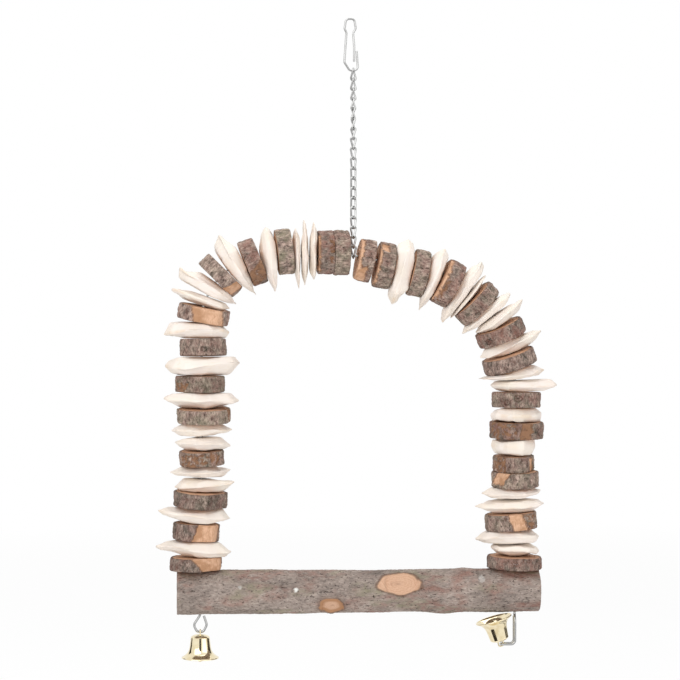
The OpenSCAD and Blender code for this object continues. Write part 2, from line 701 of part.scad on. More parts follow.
clip_wire();
clip_gate();
for (i = [1 : link_count]) {
    chain_link(i);
}
arch_wire();
perch();
for (i = [1 : DISCS]) {
    bark_disc(left_discs[i - 1], i);
    bark_disc(right_discs[i - 1], i + DISCS);
}
pale_chips(left_leg_chips);  // pale_chips_left_leg
pale_chips(left_shoulder_chips);  // pale_chips_left_shoulder
pale_chips(right_shoulder_chips);  // pale_chips_right_shoulder
pale_chips(right_leg_chips);  // pale_chips_right_leg
left_bell() bell_cup();  // left_bell_cup
left_bell() bell_staple();  // left_bell_staple
left_bell() bell_clapper();  // left_bell_clapper
right_bell() bell_cup();  // right_bell_cup
right_bell() bell_staple();  // right_bell_staple
right_bell() leaning_clapper();  // right_bell_clapper
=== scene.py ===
# Bird swing: a snap clip, a twisted chain, a wire arch threaded with bark slices and pale
# chips, a branch perch and two brass bells. Sizes are in millimetres, which MM turns into
# metres, but for the studio's own. The viewer of the photograph stands at -Y.
import json
import math
import random

import bpy
from mathutils import Matrix, Vector, noise
from mathutils.bvhtree import BVHTree


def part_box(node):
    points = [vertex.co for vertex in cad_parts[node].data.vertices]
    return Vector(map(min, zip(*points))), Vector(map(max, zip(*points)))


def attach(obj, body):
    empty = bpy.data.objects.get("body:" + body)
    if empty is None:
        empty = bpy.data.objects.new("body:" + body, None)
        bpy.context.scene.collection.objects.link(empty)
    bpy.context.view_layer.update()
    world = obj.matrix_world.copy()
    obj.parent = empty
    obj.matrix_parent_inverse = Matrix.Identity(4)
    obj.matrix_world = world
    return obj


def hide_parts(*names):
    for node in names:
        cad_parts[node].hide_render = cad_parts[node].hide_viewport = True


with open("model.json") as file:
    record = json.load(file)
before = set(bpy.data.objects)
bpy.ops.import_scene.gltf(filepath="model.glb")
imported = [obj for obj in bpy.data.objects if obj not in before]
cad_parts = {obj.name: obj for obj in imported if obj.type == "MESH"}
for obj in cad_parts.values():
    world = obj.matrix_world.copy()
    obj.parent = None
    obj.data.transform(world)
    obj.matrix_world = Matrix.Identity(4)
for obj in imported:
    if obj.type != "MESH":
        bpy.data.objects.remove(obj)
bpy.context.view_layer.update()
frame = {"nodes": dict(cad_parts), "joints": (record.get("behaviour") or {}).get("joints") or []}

# Snap clip
# One length of hard nickel-plated wire, bent into a bulb, a narrow neck and a hook. Its free
# inner leg is springy, closes the hook from inside and is the gate that opens it.
MM = 0.001
CLIP_WIRE = 1.3
CLIP_L = 31.4
CLIP_W = 8.3
BULB_W = 6.2
HOOK_L = 11.8
clip_top = CLIP_WIRE / 2
clip_low = clip_top - CLIP_L
neck_z = clip_top - CLIP_L * 0.27
bulb_z = clip_top + (neck_z - clip_top) * 0.68
neck_x = BULB_W * 0.29
clip_left = -CLIP_W * 0.43
hook_x = clip_left + CLIP_W
clip_corners = [(hook_x - CLIP_WIRE * 0.6, 0, clip_low + HOOK_L), (hook_x, 0, clip_low),
                (clip_left + CLIP_W * 0.38, 0, clip_low),
                (clip_left, 0, clip_low + CLIP_L * 0.16), (-BULB_W * 0.37, 0, neck_z),
                (-BULB_W * 0.55, 0, bulb_z), (-BULB_W * 0.4, 0, clip_top),
                (BULB_W * 0.4, 0, clip_top), (BULB_W * 0.55, 0, bulb_z), (neck_x, 0, neck_z)]
clip_bends = ([0] + [CLIP_W * 0.3] * 3
              + [BULB_W * share for share in (0.4, 0.25, 0.35, 0.35, 0.25)] + [0])
gate_corners = [(neck_x, 0, neck_z - CLIP_WIRE / 3),
                (neck_x + CLIP_WIRE / 2, 0, clip_low + HOOK_L * 1.25),
                (neck_x + CLIP_WIRE * 0.46, 0, clip_low + HOOK_L * 0.453)]
GATE_BEND = 14


def fill(tree, node, inputs):
    """Links sockets to a node's inputs and sets plain values on its other inputs."""
    for key, value in inputs.items():
        if isinstance(value, bpy.types.NodeSocket):
            tree.links.new(value, node.inputs[key])
        else:
            node.inputs[key].default_value = value
    return node


def add_node(tree, kind, inputs=None, **settings):
    """A new node with its settings made and its inputs filled."""
    node = tree.nodes.new(kind)
    for key, value in settings.items():
        setattr(node, key, value)
    return fill(tree, node, inputs or {})


def open_tree(name, kind, inputs, outputs):
    """A node group with named sockets. Inputs are (name, type, value), outputs (name, type)."""
    tree = bpy.data.node_groups.new(name, kind)
    for label, sort, value in inputs:
        socket = tree.interface.new_socket(name=label, in_out="INPUT",
                                           socket_type="NodeSocket" + sort)
        if value is not None:
            socket.default_value = value
    for label, sort in outputs:
        tree.interface.new_socket(name=label, in_out="OUTPUT", socket_type="NodeSocket" + sort)
    return tree, add_node(tree, "NodeGroupInput").outputs, add_node(tree, "NodeGroupOutput")


def calc(tree, operation, *values):
    node = add_node(tree, "ShaderNodeMath", dict(enumerate(values)), operation=operation)
    return node.outputs[0]


def span(tree, value, low, high, to_low=0.0, to_high=1.0):
    """Carries a value from the range low to high over to another range, and holds it there."""
    node = add_node(tree, "ShaderNodeMapRange",
                    {"Value": value, "From Min": low, "From Max": high,
                     "To Min": to_low, "To Max": to_high})
    return node.outputs["Result"]


def cloud(tree, place, scale, detail, roughness=0.5):
    node = add_node(tree, "ShaderNodeTexNoise", {"Vector": place, "Scale": scale,
                                                 "Detail": detail, "Roughness": roughness})
    return node.outputs["Fac"]


def blend(tree, low, high, factor):
    """A mix of two colours. Each is a socket or a plain (red, green, blue)."""
    low, high = ((*c, 1.0) if isinstance(c, tuple) else c for c in (low, high))
    node = add_node(tree, "ShaderNodeMix", {0: factor, 6: low, 7: high}, data_type="RGBA")
    return node.outputs[2]


def bent_wire_tree():
    """Corner points joined by straight runs, rounded at each corner by its own bend radius and
    given a round section."""
    tree, given, result = open_tree(
        "bent_wire", "GeometryNodeTree",
        [("Corners", "Geometry", None), ("Wire thickness", "Float", 0.0013),
         ("Points in a bend", "Int", 7), ("Sides", "Int", 14), ("Turn", "Float", 0.0),
         ("Place", "Vector", (0.0, 0.0, 0.0)), ("Finish", "Material", None)],
        [("Wire", "Geometry")])
    bends = add_node(tree, "GeometryNodeInputNamedAttribute", {"Name": "bend"},
                     data_type="FLOAT")
    path = add_node(tree, "GeometryNodeMeshToCurve", {"Mesh": given["Corners"]})
    path = add_node(tree, "GeometryNodeFilletCurve",
                    {"Curve": path.outputs["Curve"], "Radius": bends.outputs["Attribute"],
                     "Count": given["Points in a bend"], "Limit Radius": True}, mode="POLY")
    section = add_node(tree, "GeometryNodeCurvePrimitiveCircle",
                       {"Resolution": given["Sides"],
                        "Radius": calc(tree, "MULTIPLY", given["Wire thickness"], 0.5)},
                       mode="RADIUS")
    skin = add_node(tree, "GeometryNodeCurveToMesh",
                    {"Curve": path.outputs["Curve"], "Profile Curve": section.outputs["Curve"],
                     "Fill Caps": True})
    smooth = add_node(tree, "GeometryNodeSetShadeSmooth", {"Geometry": skin.outputs["Mesh"]})
    turn = add_node(tree, "ShaderNodeCombineXYZ", {"Z": given["Turn"]})
    placed = add_node(tree, "GeometryNodeTransform",
                      {"Geometry": smooth.outputs["Geometry"],
                       "Rotation": turn.outputs["Vector"], "Translation": given["Place"]})
    real = add_node(tree, "GeometryNodeRealizeInstances",
                    {"Geometry": placed.outputs["Geometry"]})
    finished = add_node(tree, "GeometryNodeSetMaterial",
                        {"Geometry": real.outputs["Geometry"], "Material": given["Finish"]})
    fill(tree, result, {"Wire": finished.outputs["Geometry"]})
    return tree


def wear_group():
    """Handling wear: the faint smears and dull spots that polished metal picks up."""
    tree, given, result = open_tree(
        "handling_wear", "ShaderNodeTree",
        [("Scale", "Float", 300.0), ("Smear", "Float", 0.1), ("Rest", "Float", 0.2)],
        [("Roughness", "Float"), ("Dull", "Float"), ("Height", "Float")])
    place = add_node(tree, "ShaderNodeTexCoord").outputs["Object"]
    dull = span(tree, cloud(tree, place, given["Scale"], 4.0), 0.35, 0.72)
    fill(tree, result, {
        "Roughness": calc(tree, "MULTIPLY_ADD", dull, given["Smear"], given["Rest"]),
        "Dull": dull, "Height": cloud(tree, place, 2600.0, 2.0)})
    return tree


def open_material(name):
    material = bpy.data.materials.new(name)
    material.use_nodes = True
    return material, material.node_tree, material.node_tree.nodes["Principled BSDF"]


def bump(tree, height, strength, distance):
    node = add_node(tree, "ShaderNodeBump",
                    {"Height": height, "Strength": strength, "Distance": distance})
    return node.outputs["Normal"]


metal_wear = wear_group()


def metal_finish(name, bright, dull, rest, smear, scale):
    """Polished metal whose rest roughness and brightness change where it was handled."""
    material, tree, shader = open_material(name)
    wear = add_node(tree, "ShaderNodeGroup", {"Scale": scale, "Smear": smear, "Rest": rest},
                    node_tree=metal_wear)
    fill(tree, shader, {"Metallic": 1.0,
                        "Base Color": blend(tree, bright, dull, wear.outputs["Dull"]),
                        "Roughness": wear.outputs["Roughness"],
                        "Normal": bump(tree, wear.outputs["Height"], 0.04, 0.00002)})
    return material


nickel = metal_finish("nickel_plate", bright=(0.47, 0.47, 0.465), dull=(0.38, 0.38, 0.375),
                      rest=0.14, smear=0.08, scale=200.0)


def show(name, mesh, body, node):
    """Puts a finished mesh in the scene as the piece that stands for a CAD node."""
    piece = bpy.data.objects.new(name, mesh)
    bpy.context.scene.collection.objects.link(piece)
    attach(piece, body)
    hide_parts(node)


wire_tree = bent_wire_tree()


def wire_mesh(name, corners, bends, thickness, finish, closed=False, turn=0.0,
              place=(0, 0, 0), points=7):
    """Runs the bent wire tree over corner points and gives back its plain mesh."""
    count = len(corners)
    mesh = bpy.data.meshes.new(name)
    mesh.from_pydata([Vector(c) * MM for c in corners],
                     [(i, (i + 1) % count) for i in range(count if closed else count - 1)], [])
    field = mesh.attributes.new("bend", "FLOAT", "POINT")
    field.data.foreach_set("value", [b * MM for b in bends])
    holder = bpy.data.objects.new(name + "_path", mesh)
    bpy.context.scene.collection.objects.link(holder)
    modifier = holder.modifiers.new("bent wire", "NODES")
    modifier.node_group = wire_tree
    values = {"Wire thickness": thickness * MM, "Points in a bend": points, "Finish": finish,
              "Turn": math.radians(turn), "Place": [float(v) * MM for v in place]}
    for socket in wire_tree.interface.items_tree:
        if socket.in_out == "INPUT" and socket.name in values:
            modifier[socket.identifier] = values[socket.name]
    bpy.context.view_layer.update()
    done = bpy.data.meshes.new_from_object(
        holder.evaluated_get(bpy.context.evaluated_depsgraph_get()))
    bpy.data.objects.remove(holder)
    done.name = name
    return done


show("snap_clip", wire_mesh("snap_clip", clip_corners, clip_bends, CLIP_WIRE, nickel),
     "clip", "clip_wire")
show("clip_spring_gate",
     wire_mesh("clip_spring_gate", gate_corners, [0, GATE_BEND, 0], CLIP_WIRE, nickel),
     "clip_gate", "clip_gate")

# Chain
# Nineteen links of nickel-plated wire, each bent alike with its two ends a quarter turn
# apart, so that the links lie in line. The hanging chain has a slow twist in its upper part.
LINK_WIRE = 1.17
LINK_HALF_W = 1.85
LINK_L = 7.35
LINKS = 19
FIRST_TURN = 45
TWIST = 135
TWIST_ENDS = 13
TWIST_BACK = 45
BACK_STARTS = LINKS - 5
BACK_ENDS = LINKS - 1
LINK_BEND_POINTS = 9
link_end = LINK_HALF_W * math.sqrt(0.5)
link_corners = [Vector(corner) for corner in (
    (link_end, link_end, LINK_L / 2), (-link_end, -link_end, LINK_L / 2),
    (-link_end, link_end, -LINK_L / 2), (link_end, -link_end, -LINK_L / 2))]
link_turn = (link_corners[0] - link_corners[3]).angle(link_corners[1] - link_corners[0])
link_bend = 0.9 * LINK_HALF_W / math.tan(link_turn / 2)


def ease(x, low, high):
    """Climbs smoothly from 0 at low to 1 at high."""
    t = max(0.0, min(1.0, (x - low) / (high - low)))
    return t * t * (3 - 2 * t)


for number in range(1, LINKS + 1):
    node = f"chain_link_{number:02d}"
    low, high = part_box(node)
    turn = (FIRST_TURN + TWIST * ease(number, 1, TWIST_ENDS)
            - TWIST_BACK * ease(number, BACK_STARTS, BACK_ENDS))
    link = wire_mesh(node, link_corners, [link_bend] * 4, LINK_WIRE, nickel, closed=True,
                     turn=turn, place=(low + high) / 2 / MM, points=LINK_BEND_POINTS)
    show(f"twisted_link_{number:02d}", link, node, node)

# Wire arch
# One stiff nickel-plated wire. It rises from the perch, bends over three times and goes
# down through the perch again. Each end is bent into a loop that holds a bell.
ARCH_WIRE = 1.5
ARCH_W = 191.5
ARCH_H = 204.0
PERCH_D = 26.4
WIRE_PLAY = 0.35
ARCH_BEND_POINTS = 16


def joint_named(name):
    return next(joint for joint in frame["joints"] if joint["name"] == name)


def joint_place(name):
    return [v / MM for v in joint_named(name)["pos_m"]]


left_pivot = Vector(joint_place("left_bell_swing"))
right_pivot = Vector(joint_place("right_bell_swing"))
seat = Vector(joint_place("link_19_to_arch"))
legs = [joint_place("left_bell_swing")[0] + share * ARCH_W for share in (0, 1)]
perch_z = joint_place("link_19_to_arch")[2] - ARCH_H
perch_base = perch_z - PERCH_D / 2
shoulder_left = Vector((legs[0] + ARCH_W * 0.006, 0, perch_z + ARCH_H * 0.997))
shoulder_right = Vector((legs[1] + ARCH_W * 0.003, 0, perch_z + ARCH_H * 0.903))
crown_bend = ARCH_W * 0.13
crown_turn = (seat - shoulder_left).angle(shoulder_right - seat)
crown = seat + Vector((0, 0, crown_bend * (1 / math.cos(crown_turn / 2) - 1)))
route = [Vector((legs[0], 0, perch_z)), shoulder_left, crown, shoulder_right,
         Vector((legs[1], 0, perch_z))]
route_bends = [0, ARCH_W * 0.21, crown_bend, ARCH_W * 0.396, 0]
loop_drop = left_pivot.z - perch_base
loop_wide = ARCH_WIRE * 2.69
loop_narrow = ARCH_WIRE * 1.287
hook_y = ARCH_WIRE * 1.5
left_loop = [(legs[0] + ARCH_WIRE * 1.45, 0, perch_base - WIRE_PLAY - ARCH_WIRE / 2),
             (legs[0] + loop_wide, 0, perch_base + loop_drop * 0.62),
             (legs[0] + loop_narrow, 0, left_pivot.z),
             (legs[0] - loop_narrow, 0, left_pivot.z),
             (legs[0] - loop_wide, 0, perch_base + loop_drop * 0.62),
             (legs[0], 0, perch_base + loop_drop * 0.06)]
right_hook = [(legs[1], 0, perch_base - ARCH_WIRE * 0.6),
              (legs[1], -hook_y, perch_base - ARCH_WIRE * 3.6),
              (legs[1], -hook_y, right_pivot.z), (right_pivot.x, -hook_y, right_pivot.z),
              (right_pivot.x, hook_y, right_pivot.z), (legs[1], hook_y, right_pivot.z),
              (legs[1], hook_y, perch_base - ARCH_WIRE * 1.7)]
loop_bends = [ARCH_WIRE * share for share in (0, 1.9, 1.55, 1.55, 1.9, 2.9)]
hook_bends = [ARCH_WIRE * share for share in (2.9, 2.9, 1.7, 0.9, 0.9, 1.7, 0)]
show("wire_arch",
     wire_mesh("wire_arch", left_loop + route[1:4] + right_hook,
               loop_bends + route_bends[1:4] + hook_bends, ARCH_WIRE, nickel,
               points=ARCH_BEND_POINTS),
     "arch", "arch_wire")

# Points along the arch's wire, each with its direction of travel. The pieces are strung here.
ROUTE_STEPS = 120
route_line = []
begin = route[0]
for i in range(1, 4):
    into = (route[i] - route[i - 1]).normalized()
    away = (route[i + 1] - route[i]).normalized()
    turn = into.angle(away)
    inward = into.cross(away).normalized().cross(into)
    end = route[i] - into * (route_bends[i] * math.tan(turn / 2))
    for k in range(ROUTE_STEPS):
        route_line.append((begin.lerp(end, k / ROUTE_STEPS), into))
    for k in range(ROUTE_STEPS + 1):
        w = turn * k / ROUTE_STEPS
        round_bend = inward * (1 - math.cos(w)) + into * math.sin(w)
        route_line.append((end + round_bend * route_bends[i],
                           into * math.cos(w) + inward * math.sin(w)))
    begin = route_line[-1][0]
for k in range(1, ROUTE_STEPS + 1):
    route_line.append((begin.lerp(route[4], k / ROUTE_STEPS), away))

# Bark slices
# Slices sawn across a branch of about 30 mm with the bark left on, drilled through the pith.
# Some have lost bark down to the orange wood. They turn freely on the wire.
BORE = 3.6
SLICE_SIDES = 160
SLICE_STEPS = 15
FACE_DEPTHS = (0.0, 0.45, 0.95, 1.25, 2.6, 5.0)
BORE_SHARES = (0.5, 0.8, 1)
BARK_THICK = 1.0
FACE_WEAR = 0.45
SIDE_WEAR = 0.12
FACE_LIFT = 0.10
LUMP_H = 0.42
CRACK_DEEP = 0.5
FINE_H = 0.26
BARE_DEEP = 0.75
EYE_H = 0.35
PUPIL_DEEP = 0.6
# For each slice: how light, red and green its bark is, its bare patches and its knots. A patch
# is [middle angle, half width, slant, lowest, highest, share gone], with angles in degrees from
# outwards over the front. A knot is [angle, level, radius].
SLICE_LOOKS = {
    "left": [
        (0.1, 0.5, 0.1, [[138, 45, -12, -1, 1, 1]], []),
        (0.25, 0.4, 0.1, [[124, 36, 8, -1, 1, 1]], []),
        (0.1, 0.4, 0.2, [], []),
        (0.55, 0.6, 0.3, [[60, 34, 0, -1, 0.7, 0.45], [118, 20, 10, -0.6, 1, 0.4]], []),
        (0.65, 0.3, 0.6, [[162, 9, -6, -1, 1, 0.7]], []),
        (0.3, 0.5, 0.5, [[34, 22, 14, -1, 0.1, 0.6]], []),
        (0.55, 0.5, 0.2, [], [[92, -0.25, 1.7]]),
        (1.0, 0.5, 0.1, [[103, 37, -5, -1, 1, 1]], []),
        (0.85, 0.2, 0.3, [[154, 28, 8, -1, 1, 1]], []),
        (0.85, 0.8, 0.1, [[142, 38, -12, -1, 1, 0.85]], []),
        (0.95, 0.1, 0.8, [], []),
        (0.35, 0.9, 0.1, [[90, 30, 0, 0.5, 1, 0.4], [100, 60, 0, -1, -0.84, 1]], []),
        (0.6, 0.4, 0.5, [], [])],
    "right": [
        (0.8, 0.7, 0.2, [[146, 36, -16, -1, 0.3, 1], [70, 70, 0, -1, -0.62, 1]], []),
        (0.6, 0.5, 0.3, [[36, 20, 10, -0.95, 0.1, 1], [100, 60, 0, -1, -0.8, 1]],
         [[36, -0.35, 1.7]]),
        (0.8, 0.4, 0.4, [], []),
        (0.7, 0.8, 0.1, [[118, 30, 0, -1, -0.3, 0.6], [90, 75, 0, -1, -0.7, 1]], []),
        (0.6, 0.5, 0.3, [], []),
        (0.3, 0.9, 0.1, [], [[140, 0.1, 1.9]]),
        (0.55, 0.3, 0.1, [], []),
        (0.55, 0.5, 0.4, [], [[122, 0.3, 1.9], [96, -0.25, 2.3]]),
        (0.15, 0.7, 0.2, [[76, 12, 3, -1, 1, 0.95], [135, 34, 0, -1, 1, 0.35]], []),
        (0.45, 0.4, 0.3, [[24, 13, 0, -0.7, 1, 1], [150, 26, 0, -1, 1, 0.45]], []),
        (0.65, 0.3, 0.4, [[148, 24, 14, -1, 0.6, 1]], []),
        (0.55, 0.3, 0.4, [[80, 17, -6, -1, 1, 1], [44, 20, 0, -1, 1, 0.4]], []),
        (0.1, 0.8, 0.1, [], [])],
}


def noisy(x, y, z):
    """Smooth random rise and fall, roughly from -1 to 1."""
    return noise.fractal(Vector((x, y, z)), 0.9, 2.1, 3)


def hump(x, middle, width):
    """Is 1 at the middle and falls away smoothly on both sides."""
    return math.exp(-((x - middle) / width) ** 2)


def degrees_past(angle, middle):
    """How far an angle lies past another, from -180 to 180 degrees."""
    return (angle - middle + 540) % 360 - 180


def build_mesh(name, points, faces, fields, finish):
    """A smooth mesh in metres from millimetre points, with its pattern fields as attributes."""
    mesh = bpy.data.meshes.new(name)
    mesh.from_pydata([p * MM for p in points], [], faces)
    mesh.polygons.foreach_set("use_smooth", [True] * len(mesh.polygons))
    for label, values in fields.items():
        if isinstance(values[0], Vector):
            field = mesh.attributes.new(label, "FLOAT_VECTOR", "POINT")
            field.data.foreach_set("vector", [c for v in values for c in v])
        else:
            field = mesh.attributes.new(label, "FLOAT", "POINT")
            field.data.foreach_set("value", values)
    mesh.materials.append(finish)
    mesh.validate()
    return mesh


def grid_faces(rings, sides, first=0, closed_rings=False):
    """Quads between rings of points, turned so that they face away from the inside."""
    faces = []
    for i in range(rings if closed_rings else rings - 1):
        a, b = first + i * sides, first + ((i + 1) % rings) * sides
        for k in range(sides):
            n = (k + 1) % sides
            faces.append((a + k, a + n, b + n, b + k))
    return faces


def strung_place(at, along):
    """The place of a piece on the wire: x outwards, y to the front, z along the wire."""
    outwards = along.cross(Vector((0, 1, 0))).normalized()
    turned = Matrix((outwards, along.cross(outwards), along)).transposed()
    return Matrix.Translation(at) @ turned.to_4x4()


def bark_group():
    """Bark: a mottled grey-brown skin with pale flecks, dark pits and cracks along the grain."""
    tree, given, result = open_tree(
        "bark_skin", "ShaderNodeTree",
        [("Grain", "Vector", (0.0, 0.0, 0.0)), ("Red", "Float", 0.3), ("Green", "Float", 0.2),
         ("Tone", "Float", 0.5), ("Scale", "Float", 1.0), ("Mottle", "Float", 0.8),
         ("Pits", "Float", 0.7), ("Light", "Color", (0.42, 0.37, 0.33, 1.0)),
         ("Dark", "Color", (0.13, 0.10, 0.09, 1.0))],
        [("Color", "Color"), ("Height", "Float"), ("Roughness", "Float")])
    grain = add_node(tree, "ShaderNodeVectorMath",
                     {0: given["Grain"], "Scale": given["Scale"]}, operation="SCALE")

    def texture(scale, stretch, detail, seed):
        spot = add_node(tree, "ShaderNodeMapping",
                        {"Vector": grain.outputs[0], "Scale": (scale, scale, scale * stretch),
                         "Location": (seed, seed * 1.7, seed * 0.6)})
        return cloud(tree, spot.outputs["Vector"], 1.0, detail, roughness=0.6)

    tint = texture(0.15, 0.6, 4.0, 3.0)
    patch = texture(0.27, 0.5, 4.0, 51.0)
    crack = texture(1.1, 0.3, 6.0, 11.0)
    fleck = texture(1.5, 0.6, 3.0, 23.0)
    pit = texture(0.75, 0.5, 3.0, 37.0)
    uneven = calc(tree, "MULTIPLY_ADD", span(tree, patch, 0.33, 0.67, -0.95, 1.05),
                  given["Mottle"], 1.0)
    brightness = calc(tree, "MULTIPLY", span(tree, given["Tone"], -1.0, 1.0, 0.02, 1.42), uneven)
    shade = add_node(tree, "ShaderNodeHueSaturation",
                     {"Color": blend(tree, given["Dark"], given["Light"],
                                     span(tree, crack, 0.31, 0.66)), "Value": brightness})
    colour = shade.outputs["Color"]
    for coat, mask, strength in (
            ((0.30, 0.135, 0.10), span(tree, tint, 0.4, 0.66, 0.0, 0.8), "Red"),
            ((0.29, 0.265, 0.17), span(tree, tint, 0.6, 0.36, 0.0, 0.8), "Green"),
            ((0.58, 0.51, 0.45), span(tree, fleck, 0.58, 0.72, 0.0, 0.8), "Mottle"),
            ((0.05, 0.032, 0.026), span(tree, pit, 0.59, 0.67), "Pits")):
        colour = blend(tree, colour, coat, calc(tree, "MULTIPLY", mask, given[strength]))
    fill(tree, result, {
        "Color": colour, "Roughness": span(tree, crack, 0.3, 0.7, 0.95, 0.72),
        "Height": calc(tree, "SUBTRACT", calc(tree, "ADD", crack, fleck),
                       span(tree, pit, 0.6, 0.75))})
    return tree


def cut_wood_group():
    """Cut wood: growth rings round the pith, faint rays and the marks of the saw."""
    tree, given, result = open_tree(
        "cut_wood", "ShaderNodeTree",
        [("Grain", "Vector", (0.0, 0.0, 0.0)), ("Ring spacing", "Float", 1.3),
         ("Ring depth", "Float", 0.45),
         ("Early wood", "Color", (0.68, 0.40, 0.22, 1.0)),
         ("Late wood", "Color", (0.47, 0.23, 0.11, 1.0))],
        [("Color", "Color"), ("Height", "Float"), ("Roughness", "Float")])
    across = add_node(tree, "ShaderNodeSeparateXYZ", {0: given["Grain"]}).outputs
    radius = calc(tree, "SQRT", calc(tree, "ADD", calc(tree, "MULTIPLY", across[0], across[0]),
                                     calc(tree, "MULTIPLY", across[1], across[1])))
    phase = calc(tree, "MULTIPLY_ADD", cloud(tree, given["Grain"], 0.16, 3.0), 2.6,
                 calc(tree, "DIVIDE", radius, given["Ring spacing"]))
    ring = calc(tree, "POWER", calc(tree, "FRACT", phase), 2.5)
    strands = add_node(tree, "ShaderNodeMapping",
                       {"Vector": given["Grain"], "Scale": (1.0, 1.0, 0.18)})
    fine = cloud(tree, strands.outputs["Vector"], 2.0, 4.0)
    late = calc(tree, "MULTIPLY_ADD", ring, given["Ring depth"],
                span(tree, fine, 0.42, 0.72, 0.0, 0.6))
    fill(tree, result, {
        "Color": blend(tree, given["Early wood"], given["Late wood"], late),
        "Height": calc(tree, "MULTIPLY_ADD", ring, 0.4, fine),
        "Roughness": span(tree, fine, 0.3, 0.7, 0.75, 0.6)})
    return tree


def read_field(tree, label, output="Fac"):
    return add_node(tree, "ShaderNodeAttribute", attribute_name=label).outputs[output]


bark_skin = bark_group()
cut_wood = cut_wood_group()


def branch_finish(name, scale, mottle, pits, ring_spacing, relief, early, late, light, dark):
    """Bark where the field cut is 0, and bare cut wood with its rings where it is 1."""
    material, tree, shader = open_material(name)
    grain = read_field(tree, "grain", "Vector")
    cut = read_field(tree, "cut")
    bark = add_node(tree, "ShaderNodeGroup",
                    {"Grain": grain, "Scale": scale, "Mottle": mottle, "Pits": pits,
                     "Light": (*light, 1), "Dark": (*dark, 1),
                     "Tone": read_field(tree, "tone"), "Red": read_field(tree, "red"),
                     "Green": read_field(tree, "green")}, node_tree=bark_skin)
    wood = add_node(tree, "ShaderNodeGroup",
                    {"Grain": grain, "Ring spacing": ring_spacing, "Early wood": (*early, 1),
                     "Late wood": (*late, 1)}, node_tree=cut_wood)
    amber = blend(tree, wood.outputs["Color"], (0.42, 0.22, 0.115), read_field(tree, "amber"))
    colour = blend(tree, bark.outputs["Color"], amber, cut)
    # Dark brown over both: real stains, and painted shade along the splits in the sawn ends.
    colour = blend(tree, colour, (0.15, 0.07, 0.035), read_field(tree, "stain_and_shade"))
    colour = blend(tree, colour, (0.85, 0.84, 0.8), read_field(tree, "lichen"))
    rough = add_node(tree, "ShaderNodeMix", {0: cut, 2: bark.outputs["Roughness"],
                                             3: wood.outputs["Roughness"]}, data_type="FLOAT")
    height = add_node(tree, "ShaderNodeMix",
                      {0: cut, 2: bark.outputs["Height"],
                       3: calc(tree, "MULTIPLY", wood.outputs["Height"], 0.3)},
                      data_type="FLOAT")
    fill(tree, shader, {"Base Color": colour, "Roughness": rough.outputs[0],
                        "Specular IOR Level": 0.25,
                        "Normal": bump(tree, height.outputs[0], 0.8, relief)})
    return material


slice_finish = branch_finish(
    "slice_bark_and_wood", scale=1.0, mottle=0.7, pits=0.7, ring_spacing=1.25, relief=0.0007,
    early=(0.70, 0.44, 0.29), late=(0.46, 0.235, 0.125), light=(0.37, 0.28, 0.235),
    dark=(0.085, 0.058, 0.048))


def rim_radii(rim, middle):
    """The outline of a CAD slice as its radius at equal steps round the middle."""
    spokes = sorted({(round(math.atan2(p.y - middle.y, p.x - middle.x), 4),
                      round(math.hypot(p.x - middle.x, p.y - middle.y), 3)) for p in rim})
    spokes = [(spokes[-1][0] - math.tau, spokes[-1][1]), *spokes,
              (spokes[0][0] + math.tau, spokes[0][1])]
    radii = []
    for k in range(SLICE_SIDES):
        angle = (math.tau * k / SLICE_SIDES + math.pi) % math.tau - math.pi
        (a0, r0), (a1, r1) = next(pair for pair in zip(spokes, spokes[1:])
                                  if pair[0][0] <= angle <= pair[1][0])
        radii.append(r0 + (r1 - r0) * (angle - a0) / max(a1 - a0, 1e-6))
    return radii


def bare_wood(patches, angle, level, wobble, ragged):
    """How much of the bark is gone at a spot, and how orange the wood is there."""
    most, deep = 0.0, 0.0
    for middle, wide, slant, low_end, high_end, gone in patches:
        off = degrees_past(angle, middle + slant * level)
        inside = ease(wide + 3 * wobble + 1.5 * ragged - abs(off), -1.6, 1.6)
        if low_end > -1:
            inside *= ease(level - low_end + 0.25 * ragged, -0.1, 0.1)
        if high_end < 1:
            inside *= ease(high_end - level + 0.25 * ragged, -0.1, 0.1)
        if gone < 1:
            inside *= 0.8 * ease(ragged + gone - 0.5, -0.15, 0.2)
        if inside > most:
            most = inside
            deep = 0.9 if gone < 1 else 0.85 * ease(1.2 * wobble - off / wide, -0.1, 1.1)
    return most, deep


